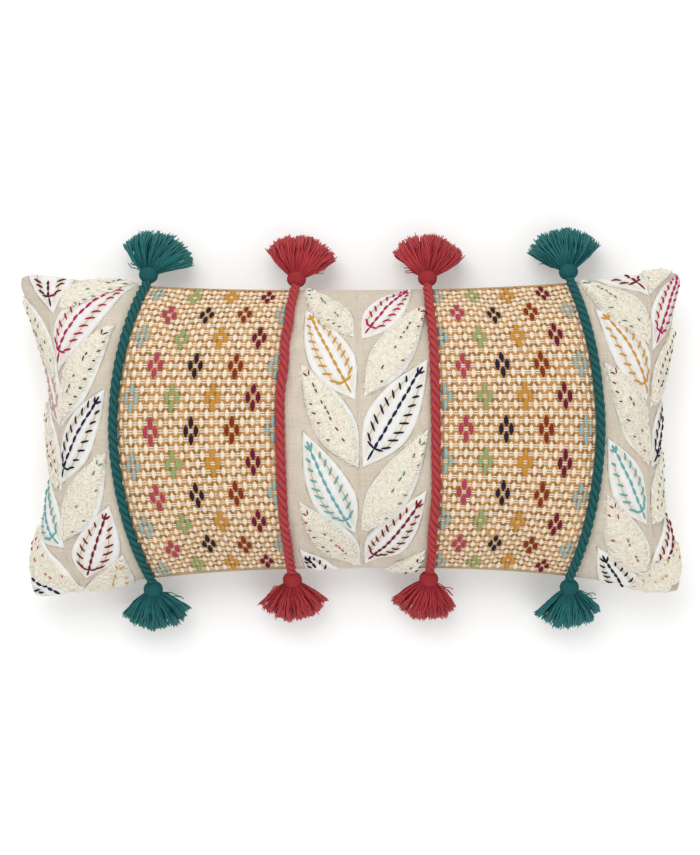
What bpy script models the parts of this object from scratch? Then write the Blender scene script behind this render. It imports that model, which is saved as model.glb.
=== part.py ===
"""Lumbar throw pillow: stuffed insert, pieced front cover with applique leaves, zipped back cover,
four twisted cords over the panel seams and eight free tassels. Metres, +Z up, lying on its back.
The origin is on the table, under the middle of the whole object. +X runs along the length."""

import collections
import itertools
import math

import bmesh
import bpy
from mathutils import Matrix, Vector

# ---- Driving dimensions of the stuffed cover -------------------------------------------------
# Plan positions of the four corners, keyed by (side along X, side along Y).
CORNERS = {
    (-1, 1): (-0.3035, 0.1444),
    (1, 1): (0.3035, 0.1472),
    (-1, -1): (-0.2875, -0.1545),
    (1, -1): (0.3025, -0.1508),
}
SIDE_PULL = 0.0205  # how far each short side pulls in at its middle
TOP_PULL = 0.0170  # how far the top side pulls in at its middle
BOTTOM_PULL = 0.0266
PULL_POWER = 2.6  # how square the pulled-in curve is
SEAM_HEIGHT = 0.0520  # height of the edge seam above the table
FRONT_RISE = 0.0670  # crown of the front above the seam
BACK_DROP = 0.0640  # depth of the back below the seam, before the table flattens it
FRONT_SQUARENESS = 5.0
BACK_SQUARENESS = 8.0
CROSS_SQUARENESS = 2.5
SHOULDER = 0.8
TABLE_SOFTNESS = 0.0040  # height over which the back rolls off the table
SEAM_HALF_GAP = 0.00025

# ---- Layers: how far each face lies inside the cover's outer face, all round, at the front and at
# the back. The insert also stops short of the bottom seam, which leaves room for the zip.
Layer = collections.namedtuple("Layer", "inset front back insert")
COVER_OUTSIDE = Layer(0.0, 0.0, 0.0, False)
COVER_INSIDE = Layer(0.0012, 0.0012, 0.0012, False)
CASING_OUTSIDE = Layer(0.0042, 0.0018, 0.0040, True)
CASING_INSIDE = Layer(0.0049, 0.0025, 0.0047, True)
FILL_OUTSIDE = Layer(0.0053, 0.0029, 0.0051, True)
LEAF_TOP = Layer(-0.0024, -0.0024, 0.0, False)
LEAF_UNDER = Layer(-0.0015, -0.0015, 0.0, False)
INSERT_SHORT = 0.0022
INSERT_ROOM = 0.0090
HALF_LENGTH = 0.290
HALF_WIDTH = 0.135
PANEL_COLUMNS = (5, 4, 4, 4, 5)  # facets across each front panel
ROWS = 12  # facets from the bottom seam to the top seam
BACK_END_COLUMNS = 6  # facets of the back beyond each end of the zip
BACK_ZIP_COLUMNS = 12  # facets of the back along the zip
LOWER_ROWS = 4  # facets from the bottom seam to the zip

# ---- Panel seams: share of the half length at the top side, across the middle, at the bottom ---
PANEL_SEAMS = {
    "left_outer": (-0.613, -0.769, -0.639),
    "left_inner": (-0.166, -0.237, -0.206),
    "right_inner": (0.233, 0.262, 0.223),
    "right_outer": (0.662, 0.786, 0.654),
}
PANEL_GAP = 0.0005
CORD_RADIUS = 0.0044
CORD_REST = 0.0004  # gap between a cord and the cover under it
CORD_REACH = 0.917  # share of the half width at which a cord ends
CORD_POINTS = 22

# ---- Tassels ----------------------------------------------------------------------------------
TASSEL_TURNS = {
    ("left_outer", 1): -10.0,
    ("left_inner", 1): -8.0,
    ("right_inner", 1): -3.0,
    ("right_outer", 1): 6.0,
    ("left_outer", -1): 4.0,
    ("left_inner", -1): 2.0,
    ("right_inner", -1): -7.0,
    ("right_outer", -1): 3.0,
}
TASSEL_STAND_OFF = 0.0012  # from the edge seam out to the loop that the tassel swings on
TASSEL_LIFT = 0.0015  # of that loop, above the seam
HEAD_CENTRE = 0.0088  # from the loop to the middle of the wound head
HEAD_RADIUS = 0.0088
HEAD_HALF_DEPTH = 0.0074
LOOP_RADIUS = 0.0012
SKIRT_START = 0.0166
SKIRT_LENGTH = 0.0400
SKIRT_SPREAD = math.radians(50.0)
SKIRT_NECK = 0.0050
SKIRT_DROP = 0.0380
SKIRT_DROP_POWER = 1.35
SKIRT_HALF_DEPTHS = (0.0042, 0.0070)  # at the neck and at the cut ends
TABLE_GAP = 0.0005

# ---- Zip closure on the back, close to the bottom seam -----------------------------------------
ZIP_Y = -0.1055
ZIP_HALF_LENGTH = 0.180
ZIP_OPENING = 0.0030  # half the width left between the two back panels
ZIP_BLEND = 0.0140
TAPE_REACH = 0.0046
TEETH_PITCH = 0.0060
SLIDER_LENGTH = 0.0090
SLIDER_HALF_WIDTH = 0.0031
SLIDER_CLOSED_X = ZIP_HALF_LENGTH - 0.0090
PIN_HEIGHT = 0.0021
PULL_LENGTH = 0.0170

# ---- Leaves, laid out on the flat cloth ---------------------------------------------------------
CLOTH_HALF_HEIGHT = 0.152
CLOTH_CLOSING = 0.23  # how much the heights on the cloth close up towards the long seams
LEAF_LENGTH = 0.105
LEAF_LEAN = math.radians(31.0)
LEAF_VEIN_GAP = 0.0035
LEAF_LIMIT = 0.93  # share of the cloth's half height at which a leaf is cut off
LEAVES_IN_A_COLUMN = 5
# Panel number, side of the vein, cloth width, share across at the vein, width of a leaf, height
# share of the topmost tip at the vein, step between tips, whether the topmost leaf is white.
LEAF_COLUMNS = {
    "left": (0, 1, 0.105, 0.38, 0.027, 0.690, 0.310, False),
    "centre_left": (2, -1, 0.139, 0.485, 0.034, 0.545, 0.376, False),
    "centre_right": (2, 1, 0.139, 0.485, 0.034, 0.545, 0.376, True),
    "right": (4, -1, 0.105, 0.62, 0.027, 0.465, 0.320, False),
}

OATMEAL = (0.72, 0.66, 0.56)
WOVEN_CREAM = (0.86, 0.70, 0.48)
WHITE_COTTON = (0.86, 0.85, 0.82)
CALICO = (0.80, 0.77, 0.70)
FILLING = (0.90, 0.90, 0.90)
TEAL = (0.030, 0.150, 0.135)
CORAL = (0.500, 0.060, 0.065)
ZIP_TAPE = (0.74, 0.69, 0.60)
ZIP_COIL = (0.80, 0.76, 0.68)
NICKEL = (0.62, 0.61, 0.58)


def clear_scene():
    for thing in list(bpy.data.objects):
        bpy.data.objects.remove(thing, do_unlink=True)


def make_material(name, colour, roughness, metallic=0.0):
    material = bpy.data.materials.new(name)
    material.use_nodes = True
    shader = material.node_tree.nodes["Principled BSDF"]
    shader.inputs["Base Color"].default_value = (*colour, 1.0)
    shader.inputs["Roughness"].default_value = roughness
    shader.inputs["Metallic"].default_value = metallic
    return material


def add_object(name, mesh, material, parent=None, smooth=True):
    thing = bpy.data.objects.new(name, mesh)
    bpy.context.scene.collection.objects.link(thing)
    thing.parent = parent
    mesh.materials.append(material)
    if smooth:
        mesh.shade_smooth()
        mesh.set_sharp_from_angle(angle=math.radians(40.0))
    return thing


def mesh_from(name, points, faces):
    """Mesh with points that coincide joined and every face turned outwards."""
    shape = bmesh.new()
    corners = [shape.verts.new(point) for point in points]
    for face in faces:
        shape.faces.new([corners[index] for index in face])
    bmesh.ops.remove_doubles(shape, verts=shape.verts, dist=1e-6)
    bmesh.ops.recalc_face_normals(shape, faces=shape.faces)
    if shape.calc_volume(signed=True) < 0.0:
        bmesh.ops.reverse_faces(shape, faces=shape.faces)
    mesh = bpy.data.meshes.new(name)
    shape.to_mesh(mesh)
    shape.free()
    return mesh


# ---- The stuffed surface -----------------------------------------------------------------------


def mix(low, high, share):
    return low + (high - low) * share


def smooth_step(value, start, end):
    share = min(1.0, max(0.0, (value - start) / (end - start)))
    return share * share * (3.0 - 2.0 * share)


def pull(share):
    return 1.0 - abs(share) ** PULL_POWER


def swell(share, squareness):
    return max(0.0, 1.0 - abs(share) ** squareness) ** SHOULDER


def plan(u, v):
    """Plan position for shares u and v of the half length and half width."""
    across = (v + 1.0) / 2.0
    along = (u + 1.0) / 2.0
    left = mix(CORNERS[(-1, -1)][0], CORNERS[(-1, 1)][0], across) + SIDE_PULL * pull(v)
    right = mix(CORNERS[(1, -1)][0], CORNERS[(1, 1)][0], across) - SIDE_PULL * pull(v)
    low = mix(CORNERS[(-1, -1)][1], CORNERS[(1, -1)][1], along) + BOTTOM_PULL * pull(u)
    high = mix(CORNERS[(-1, 1)][1], CORNERS[(1, 1)][1], along) - TOP_PULL * pull(u)
    return mix(left, right, along), mix(low, high, across)


def share_at_y(u, y):
    low = plan(u, -1.0)[1]
    high = plan(u, 1.0)[1]
    return 2.0 * (y - low) / (high - low) - 1.0


def share_at_x(x, v):
    left = plan(-1.0, v)[0]
    right = plan(1.0, v)[0]
    return 2.0 * (x - left) / (right - left) - 1.0


def plan_inside(u, v, layer):
    x, y = plan(u, v)
    x *= 1.0 - layer.inset / HALF_LENGTH
    y *= 1.0 - layer.inset / HALF_WIDTH
    if layer.insert:
        y += INSERT_SHORT * max(0.0, -v) ** 2
    return x, y


def front_point(u, v, layer=COVER_OUTSIDE, seam_gap=SEAM_HALF_GAP):
    x, y = plan_inside(u, v, layer)
    rise = (FRONT_RISE - layer.front) * swell(u, FRONT_SQUARENESS) * swell(v, CROSS_SQUARENESS)
    return Vector((x, y, SEAM_HEIGHT + seam_gap + rise))


def settle(drop):
    """Drop below the seam, levelled off where the back lies on the table."""
    share = (drop - SEAM_HEIGHT + TABLE_SOFTNESS) / (2.0 * TABLE_SOFTNESS)
    if share >= 1.0:
        return SEAM_HEIGHT
    return drop - TABLE_SOFTNESS * max(0.0, share) ** 2


def plain_back_height(u, v):
    drop = BACK_DROP * swell(u, BACK_SQUARENESS) * swell(v, CROSS_SQUARENESS)
    return SEAM_HEIGHT - settle(drop)


def zip_slope():
    step = 0.002
    heights = [plain_back_height(0.0, share_at_y(0.0, ZIP_Y + side * step)) for side in (-1, 1)]
    return (heights[1] - heights[0]) / (2.0 * step)


ZIP_SLOPE = zip_slope()
ZIP_HEIGHT = plain_back_height(0.0, share_at_y(0.0, ZIP_Y))


def back_point(u, v, layer=COVER_OUTSIDE, seam_gap=SEAM_HALF_GAP):
    """Back surface. The cover is a straight, even strip along the zip, because the tape is stiff."""
    x, y = plan_inside(u, v, layer)
    height = plain_back_height(u, v)
    if layer.insert:
        depth_share = 1.0 - height / SEAM_HEIGHT
        height += INSERT_ROOM * depth_share * smooth_step(-v, 0.45, 0.75)
    else:
        strip = 1.0 - smooth_step(abs(x), ZIP_HALF_LENGTH + 0.015, ZIP_HALF_LENGTH + 0.080)
        strip *= 1.0 - smooth_step(abs(y - ZIP_Y), 0.0065, 0.0065 + ZIP_BLEND)
        height = mix(height, ZIP_HEIGHT + ZIP_SLOPE * (y - ZIP_Y), strip)
    height += layer.back * (SEAM_HEIGHT - height) / SEAM_HEIGHT
    return Vector((x, y, height * (1.0 - seam_gap / SEAM_HEIGHT)))


def seam_share(name, v):
    top, middle, bottom = PANEL_SEAMS[name]
    ends = mix(bottom, top, (v + 1.0) / 2.0)
    return ends + (middle - (top + bottom) / 2.0) * (1.0 - v * v)


def eased(share):
    """Spacing from -1 to 1 that closes up towards both ends, where the surface turns down."""
    return math.sin(share * math.pi / 2.0)


# ---- Slabs between two faces -------------------------------------------------------------------


def slab_mesh(name, columns, rows, outer, inner, middle=None):
    """Closed slab between two faces, each a function of two shares from 0 to 1.
    Both faces of a cell are cut along the same diagonal, which points at the nearest corner of the
    whole cover: middle is the column on its centre line. Nested layers then stay parallel."""
    middle = columns / 2.0 if middle is None else middle
    points = []
    for face in (outer, inner):
        for row in range(rows + 1):
            points += [face(column / columns, row / rows) for column in range(columns + 1)]
    wide = columns + 1
    under = wide * (rows + 1)
    faces = []
    for row in range(rows):
        for column in range(columns):
            first = row * wide + column
            diagonal = (first, first + wide + 1)
            others = (first + 1, first + wide)
            if (column < middle) != (row < rows / 2.0):
                diagonal, others = others, diagonal
            for corner in others:
                faces.append((*diagonal, corner))
                faces.append(tuple(under + index for index in (*diagonal, corner)))
    rim = list(range(wide))
    rim += [row * wide + columns for row in range(1, rows + 1)]
    rim += [rows * wide + column for column in range(columns - 1, -1, -1)]
    rim += [row * wide for row in range(rows - 1, 0, -1)]
    for first, second in zip(rim, rim[1:] + rim[:1]):
        faces.append((first, under + first, under + second, second))
    return mesh_from(name, points, faces)


def panel_share(index, a, v, gap):
    """Share u at share a across front panel number index, whose seams bow outwards."""
    edges = [None, *PANEL_SEAMS, None]
    before, after = edges[index], edges[index + 1]
    low = seam_share(before, v) + gap if before else -1.0
    high = seam_share(after, v) - gap if after else 1.0
    if not before:
        return mix(high, low, eased(1.0 - a))
    if not after:
        return mix(low, high, eased(a))
    return mix(low, high, a)


def whole_share(a, v):
    """Share u at share a of the whole width, on the same lines as the facets of the panels."""
    column = round(a * sum(PANEL_COLUMNS))
    for index, columns in enumerate(PANEL_COLUMNS):
        if column <= columns:
            return panel_share(index, column / columns, v, 0.0)
        column -= columns


def add_insert(calico, filling):
    def face(point, layer, seam_gap=SEAM_HALF_GAP):
        def place(a, b):
            v = eased(2.0 * b - 1.0)
            return point(whole_share(a, v), v, layer, seam_gap)

        return place

    columns = sum(PANEL_COLUMNS)
    for name, point in (("front", front_point), ("back", back_point)):
        outside, inside = face(point, CASING_OUTSIDE), face(point, CASING_INSIDE)
        mesh = slab_mesh(f"insert_{name}_casing", columns, ROWS, outside, inside)
        add_object(f"insert_{name}_casing", mesh, calico)
    front = face(front_point, FILL_OUTSIDE, 0.0)
    back = face(back_point, FILL_OUTSIDE, 0.0)
    add_object("insert_fill", slab_mesh("insert_fill", columns, ROWS, front, back), filling)


def add_front_panels(oatmeal, cream):
    names = ("front_left_leaf_panel", "front_left_woven_panel", "front_centre_leaf_panel")
    names += ("front_right_woven_panel", "front_right_leaf_panel")
    gap = PANEL_GAP / 2.0 / HALF_LENGTH
    for index, name in enumerate(names):

        def face(layer, index=index):
            def place(a, b):
                v = eased(2.0 * b - 1.0)
                return front_point(panel_share(index, a, v, gap), v, layer)

            return place

        outside, inside = face(COVER_OUTSIDE), face(COVER_INSIDE)
        middle = sum(PANEL_COLUMNS) / 2.0 - sum(PANEL_COLUMNS[:index])
        mesh = slab_mesh(name, PANEL_COLUMNS[index], ROWS, outside, inside, middle)
        add_object(name, mesh, cream if "woven" in name else oatmeal)


def back_columns():
    """Shares u of the facets across the back, with a line at each end of the zip opening."""
    line = share_at_y(0.0, ZIP_Y)
    opened = ZIP_HALF_LENGTH + 0.006
    shares = []
    for side in (-1, 1):
        end = share_at_x(side * (opened + 0.010), line)
        for index in range(BACK_END_COLUMNS + 1):
            shares.append(mix(end, float(side), eased(index / BACK_END_COLUMNS)))
    for index in range(BACK_ZIP_COLUMNS + 1):
        shares.append(share_at_x(mix(-opened, opened, index / BACK_ZIP_COLUMNS), line))
    return sorted(shares)


def add_back_panels(calico):
    columns = back_columns()
    count = len(columns) - 1

    def zip_edge(u, side):
        """Share v at the edge of the zip opening, which closes to a plain seam past its ends."""
        off_middle = abs(plan(u, share_at_y(0.0, ZIP_Y))[0])
        closed = smooth_step(off_middle, ZIP_HALF_LENGTH + 0.007, ZIP_HALF_LENGTH + 0.015)
        return share_at_y(u, ZIP_Y + side * mix(ZIP_OPENING, SEAM_HALF_GAP, closed))

    def upper(layer):
        def place(a, b):
            u = columns[round(a * count)]
            return back_point(u, mix(zip_edge(u, 1), 1.0, eased(b)), layer)

        return place

    def lower(layer):
        def place(a, b):
            u = columns[round(a * count)]
            return back_point(u, mix(-1.0, zip_edge(u, -1), 1.0 - eased(1.0 - b)), layer)

        return place

    mesh = slab_mesh("back_main", count, ROWS, upper(COVER_OUTSIDE), upper(COVER_INSIDE))
    add_object("back_main_panel", mesh, calico)
    mesh = slab_mesh("back_lower", count, LOWER_ROWS, lower(COVER_OUTSIDE), lower(COVER_INSIDE))
    add_object("back_lower_panel", mesh, calico)


# ---- Cords -------------------------------------------------------------------------------------


def front_normal(u, v):
    step = 0.004
    along = front_point(u + step, v) - front_point(u - step, v)
    across = front_point(u, v + step) - front_point(u, v - step)
    return along.cross(across).normalized()


def add_cord(seam, material):
    lift = CORD_RADIUS + CORD_REST
    curve = bpy.data.curves.new(f"cord_{seam}", "CURVE")
    curve.dimensions = "3D"
    curve.bevel_depth = CORD_RADIUS
    curve.bevel_resolution = 2
    curve.use_fill_caps = True
    line = curve.splines.new("POLY")
    line.points.add(CORD_POINTS)
    for index, point in enumerate(line.points):
        v = CORD_REACH * eased(2.0 * index / CORD_POINTS - 1.0)
        u = seam_share(seam, v)
        place = front_point(u, v) + front_normal(u, v) * lift
        point.co = (*place, 1.0)
    cord = bpy.data.objects.new(f"cord_{seam}", curve)
    bpy.context.scene.collection.objects.link(cord)
    curve.materials.append(material)


# ---- Leaves ------------------------------------------------------------------------------------


def cloth_height(n):
    """Share v of the stuffed cover for share n of the flat cloth's half height."""
    return n + CLOTH_CLOSING * n * (1.0 - n * n)


def leaf_mesh(name, column, tip):
    """Pointed oval from its lower tip beside the vein, leaning out and up, cut off at the seams."""
    panel, side, cloth_width, vein, width = LEAF_COLUMNS[column][:5]
    rise = LEAF_LENGTH * math.cos(LEAF_LEAN) / CLOTH_HALF_HEIGHT
    start = max(0.0, (-LEAF_LIMIT - tip) / rise)
    end = min(1.0, (LEAF_LIMIT - tip) / rise)

    def face(layer):
        def place(a, b):
            share = mix(start, end, a)
            along = share * LEAF_LENGTH
            round_tips = math.sin(math.pi * mix(0.03, 0.97, share)) ** 0.85
            across = width * (b - 0.5) * round_tips
            aside = LEAF_VEIN_GAP + along * math.sin(LEAF_LEAN) + across * math.cos(LEAF_LEAN)
            height = along * math.cos(LEAF_LEAN) - across * math.sin(LEAF_LEAN)
            n = min(LEAF_LIMIT + 0.04, max(-LEAF_LIMIT - 0.04, tip + height / CLOTH_HALF_HEIGHT))
            v = cloth_height(n)
            u = panel_share(panel, vein + side * aside / cloth_width, v, 0.0)
            return front_point(u, v, layer, 0.0)

        return place

    return slab_mesh(name, 6, 3, face(LEAF_TOP), face(LEAF_UNDER))


def add_leaves(white, textured):
    """White and textured leaves take turns down each column."""
    for column, (*_, top_tip, step, white_first) in LEAF_COLUMNS.items():
        for index in range(LEAVES_IN_A_COLUMN):
            is_white = white_first == (index % 2 == 0)
            kind = "white" if is_white else "textured"
            name = f"leaf_{column}_{index + 1}_{kind}"
            mesh = leaf_mesh(name, column, top_tip - index * step)
            add_object(name, mesh, white if is_white else textured)


# ---- Tassels -----------------------------------------------------------------------------------


def lathe_mesh(name, profile, sides):
    """Body turned about +Y from (distance along, radius across, radius through) rings."""
    points = [Vector((0.0, profile[0][0], 0.0))]
    for along, across, through in profile[1:-1]:
        for side in range(sides):
            angle = 2.0 * math.pi * side / sides
            points.append(Vector((across * math.cos(angle), along, through * math.sin(angle))))
    points.append(Vector((0.0, profile[-1][0], 0.0)))
    rings = len(profile) - 2
    last = len(points) - 1
    faces = []
    for side in range(sides):
        other = (side + 1) % sides
        faces.append((0, 1 + other, 1 + side))
        faces.append((last, last - sides + side, last - sides + other))
        for ring in range(rings - 1):
            start = 1 + ring * sides
            faces.append((start + side, start + other, start + sides + other, start + sides + side))
    return mesh_from(name, points, faces)


def head_profile():
    """Short loop, then the wound ball, narrowing again at the neck."""
    rings = [(0.0006, 0.0, 0.0)]
    rings += [(along, LOOP_RADIUS, LOOP_RADIUS) for along in (0.0006, 0.0018)]
    for step in range(1, 7):
        angle = math.pi * step / 7.0
        along = HEAD_CENTRE - HEAD_HALF_DEPTH * math.cos(angle)
        around = math.sin(angle)
        rings.append((along, HEAD_RADIUS * around, HEAD_RADIUS * 0.95 * around))
    rings.append((HEAD_CENTRE + HEAD_HALF_DEPTH, 0.0, 0.0))
    return rings


def skirt_point(turn, reach, through):
    """Point of the fanned skirt: turn from -1 to 1, reach and through as shares of its size."""
    angle = turn * SKIRT_SPREAD
    radius = SKIRT_NECK + reach * SKIRT_LENGTH
    forward = radius * math.cos(angle) - SKIRT_NECK
    drop = SKIRT_DROP * max(0.0, forward / SKIRT_LENGTH) ** SKIRT_DROP_POWER
    half = mix(*SKIRT_HALF_DEPTHS, reach) * (1.0 - 0.75 * turn * turn)
    shorter = math.cos(math.atan2(SKIRT_DROP, SKIRT_LENGTH))
    ahead = SKIRT_START + max(0.0, forward) * shorter
    return Vector((radius * math.sin(angle), ahead, through * half - drop))


def add_tassel(seam, end, yarn):
    """Head and skirt under one empty, which stands on the loop that the tassel swings about."""
    u = seam_share(seam, end)
    x, y = plan(u, end)
    pivot = bpy.data.objects.new(f"tassel_pivot_{seam}_{end}", None)
    bpy.context.scene.collection.objects.link(pivot)
    pivot.location = (x, y + end * TASSEL_STAND_OFF, SEAM_HEIGHT + TASSEL_LIFT)
    turn = TASSEL_TURNS[(seam, end)] + (180.0 if end < 0 else 0.0)
    pivot.rotation_euler = (0.0, 0.0, math.radians(turn))
    place = "top" if end > 0 else "bottom"
    head = lathe_mesh("tassel_head", head_profile(), 10)
    add_object(f"tassel_head_{place}_{seam}", head, yarn, pivot)
    floor = TABLE_GAP - pivot.location.z

    def face(through):
        def point(a, b):
            place = skirt_point(2.0 * a - 1.0, b, through)
            place.z = max(place.z, floor)
            return place

        return point

    skirt = slab_mesh("tassel_skirt", 8, 5, face(1.0), face(-1.0))
    add_object(f"tassel_skirt_{place}_{seam}", skirt, yarn, pivot)


# ---- Zip ---------------------------------------------------------------------------------------


def box_mesh(name, low, high):
    points = list(itertools.product(*zip(low, high)))
    faces = ((0, 1, 3, 2), (4, 6, 7, 5), (0, 4, 5, 1), (2, 3, 7, 6), (0, 2, 6, 4), (1, 5, 7, 3))
    return mesh_from(name, points, faces)


def prism_mesh(name, outline, low, high, place):
    """Outline pushed from low to high; place turns (first, second, level) into a point."""
    count = len(outline)
    points = [place(a, b, low) for a, b in outline] + [place(a, b, high) for a, b in outline]
    faces = [tuple(range(count)), tuple(range(2 * count - 1, count - 1, -1))]
    for index in range(count):
        following = (index + 1) % count
        faces.append((index, following, count + following, count + index))
    return mesh_from(name, points, faces)


def flat_prism(name, outline, low, high):
    return prism_mesh(name, outline, low, high, lambda a, b, level: Vector((a, b, level)))


def join_solids(target, tools):
    for tool in tools:
        tool.hide_render = True
        tool.display_type = "WIRE"
        union = target.modifiers.new(tool.name, "BOOLEAN")
        union.operation = "UNION"
        union.solver = "EXACT"
        union.object = tool


def comb_outline(side):
    """Teeth along one tape: a straight back edge, with a tooth every pitch towards the middle."""
    back, root, tip = side * 0.0024, side * 0.0012, side * 0.00045
    count = round(2.0 * (ZIP_HALF_LENGTH - 0.006) / TEETH_PITCH)
    start = -count * TEETH_PITCH / 2.0
    outline = []
    for tooth in range(count):
        x = start + tooth * TEETH_PITCH
        outline += [(x, root), (x + 0.25 * TEETH_PITCH, root)]
        outline += [(x + 0.35 * TEETH_PITCH, tip), (x + 0.9 * TEETH_PITCH, tip)]
    outline += [(-start, root), (-start, back), (start, back)]
    return outline


def slider_outline():
    half = SLIDER_LENGTH / 2.0
    wide = SLIDER_HALF_WIDTH
    near = [(-half, -0.55 * wide), (0.2 * half, -wide), (half, -wide)]
    return near + [(along, -across) for along, across in reversed(near)]


def add_slider(line, metal):
    """Outer and inner plate on a thin web that runs between the teeth, with a bridge for the pull."""
    carriage = bpy.data.objects.new("slider_place", None)
    bpy.context.scene.collection.objects.link(carriage)
    carriage.parent = line
    carriage.location = (SLIDER_CLOSED_X, 0.0, 0.0)
    outer_mesh = flat_prism("outer", slider_outline(), 0.0002, 0.0012)
    slider = add_object("zip_slider", outer_mesh, metal, carriage, False)
    inner_mesh = flat_prism("inner", slider_outline(), -0.0036, -0.0026)
    inner = add_object("slider_inner_plate", inner_mesh, metal, carriage, False)
    half = 0.30 * SLIDER_LENGTH
    web_mesh = box_mesh("web", (-half, -0.0002, -0.0030), (half, 0.0002, 0.0008))
    web = add_object("slider_web", web_mesh, metal, carriage, False)
    outer_edge = [(0.0027, 0.0008), (0.0027, 0.0020), (0.0017, 0.0035)]
    inner_edge = [(0.0012, 0.0029), (0.0019, 0.0019), (0.0019, 0.0008)]
    profile = [(-along, up) for along, up in outer_edge] + outer_edge[::-1]
    profile += inner_edge[::-1] + [(-along, up) for along, up in inner_edge]

    def upright(along, up, level):
        return Vector((along, level, up))

    bridge_mesh = prism_mesh("bridge", profile, -0.0006, 0.0006, upright)
    bridge = add_object("slider_bridge", bridge_mesh, metal, carriage, False)
    join_solids(slider, (web, inner, bridge))

    pull_pin = bpy.data.objects.new("pull_pin", None)
    bpy.context.scene.collection.objects.link(pull_pin)
    pull_pin.parent = carriage
    pull_pin.location = (0.0, 0.0, PIN_HEIGHT)
    edge = [(0.0019, -0.0004), (0.0019, 0.0040), (0.0026, 0.0070)]
    edge += [(0.0026, PULL_LENGTH - 0.0015), (0.0015, PULL_LENGTH)]
    outline = [(-across, along) for across, along in edge] + edge[::-1]

    def hanging(across, along, level):
        return Vector((level, across, along))

    pull_mesh = prism_mesh("zip_pull", outline, -0.0004, 0.0004, hanging)
    pull_tab = add_object("zip_pull", pull_mesh, metal, pull_pin, False)
    slot_mesh = box_mesh("slot", (-0.002, -0.0010, 0.0004), (0.002, 0.0010, 0.0036))
    slot = add_object("pull_slot", slot_mesh, metal, pull_pin, False)
    slot.hide_render = True
    slot.display_type = "WIRE"
    cut = pull_tab.modifiers.new("slot", "BOOLEAN")
    cut.operation = "DIFFERENCE"
    cut.solver = "EXACT"
    cut.object = slot


def add_zip(tape, coil, metal):
    """The zip's own frame has +X along the teeth, +Y towards the bottom seam and +Z out of the back."""
    line = bpy.data.objects.new("zip_line", None)
    bpy.context.scene.collection.objects.link(line)
    tilt = math.atan(ZIP_SLOPE)
    outward = Vector((0.0, math.sin(tilt), -math.cos(tilt)))
    along = Vector((1.0, 0.0, 0.0))
    turn = Matrix((along, outward.cross(along), outward)).transposed()
    line.matrix_world = Matrix.Translation((0.0, ZIP_Y, ZIP_HEIGHT)) @ turn.to_4x4()
    half = ZIP_HALF_LENGTH
    for side, place in ((-1, "upper"), (1, "lower")):
        edges = sorted((side * 0.0010, side * TAPE_REACH))
        tape_mesh = box_mesh("tape", (-half, edges[0], -0.0022), (half, edges[1], -0.0016))
        add_object(f"zip_tape_{place}", tape_mesh, tape, line, False)
        teeth = flat_prism("teeth", comb_outline(side), -0.0013, -0.0002)
        add_object(f"zip_teeth_{place}", teeth, coil, line, False)
        edges = sorted((side * 0.00045, side * 0.0026))
        low = (half - 0.0036, edges[0], -0.0013)
        stop_mesh = box_mesh("stop", low, (half - 0.0014, edges[1], 0.0002))
        add_object(f"zip_top_stop_{place}", stop_mesh, metal, line, False)
    stop_mesh = box_mesh("stop", (0.0014 - half, -0.0026, -0.0013), (0.0036 - half, 0.0026, 0.0002))
    add_object("zip_bottom_stop", stop_mesh, metal, line, False)
    add_slider(line, metal)


def main():
    clear_scene()
    oatmeal = make_material("oatmeal_linen", OATMEAL, 0.95)
    cream = make_material("woven_panel", WOVEN_CREAM, 0.95)
    white = make_material("white_cotton", WHITE_COTTON, 0.90)
    calico = make_material("calico", CALICO, 0.92)
    textured = make_material("looped_cotton", CALICO, 0.97)
    filling = make_material("polyester_filling", FILLING, 0.95)
    teal = make_material("teal_yarn", TEAL, 0.90)
    coral = make_material("coral_yarn", CORAL, 0.90)
    yarns = {"outer": teal, "inner": coral}
    tape = make_material("zip_tape", ZIP_TAPE, 0.85)
    coil = make_material("zip_coil", ZIP_COIL, 0.45)
    metal = make_material("nickel", NICKEL, 0.30, 1.0)
    add_insert(calico, filling)
    add_front_panels(oatmeal, cream)
    add_back_panels(calico)
    add_leaves(white, textured)
    for seam in PANEL_SEAMS:
        yarn = yarns[seam.rsplit("_", 1)[1]]
        add_cord(seam, yarn)
        for end in (1, -1):
            add_tassel(seam, end, yarn)
    add_zip(tape, coil, metal)


main()
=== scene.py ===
"""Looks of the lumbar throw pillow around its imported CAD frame: a stuffed cover shaped by a cloth
simulation, woven panels with raised floats, stitched applique leaves, twisted cords, yarn tassels and
a coil zip. Everything is placed on the cover by its own cloth coordinates, in metres."""

import math

import bpy
import numpy as np
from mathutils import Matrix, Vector
from numpy.random import default_rng


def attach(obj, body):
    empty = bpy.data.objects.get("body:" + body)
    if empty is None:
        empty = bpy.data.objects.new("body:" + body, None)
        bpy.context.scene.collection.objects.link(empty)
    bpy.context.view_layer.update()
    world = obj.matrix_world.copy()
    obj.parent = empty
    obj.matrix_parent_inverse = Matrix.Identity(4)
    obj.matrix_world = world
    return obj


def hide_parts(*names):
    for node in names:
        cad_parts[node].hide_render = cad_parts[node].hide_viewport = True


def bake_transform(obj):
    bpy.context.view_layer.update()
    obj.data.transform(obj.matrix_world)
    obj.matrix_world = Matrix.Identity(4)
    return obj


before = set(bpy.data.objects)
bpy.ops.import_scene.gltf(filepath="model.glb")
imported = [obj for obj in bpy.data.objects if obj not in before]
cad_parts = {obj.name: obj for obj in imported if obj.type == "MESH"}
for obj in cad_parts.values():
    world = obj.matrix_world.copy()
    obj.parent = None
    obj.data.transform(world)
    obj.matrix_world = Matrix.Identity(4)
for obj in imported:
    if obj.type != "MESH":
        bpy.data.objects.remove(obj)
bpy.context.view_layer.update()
HALF_PI, TURN = math.pi / 2.0, math.pi * 2.0

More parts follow.
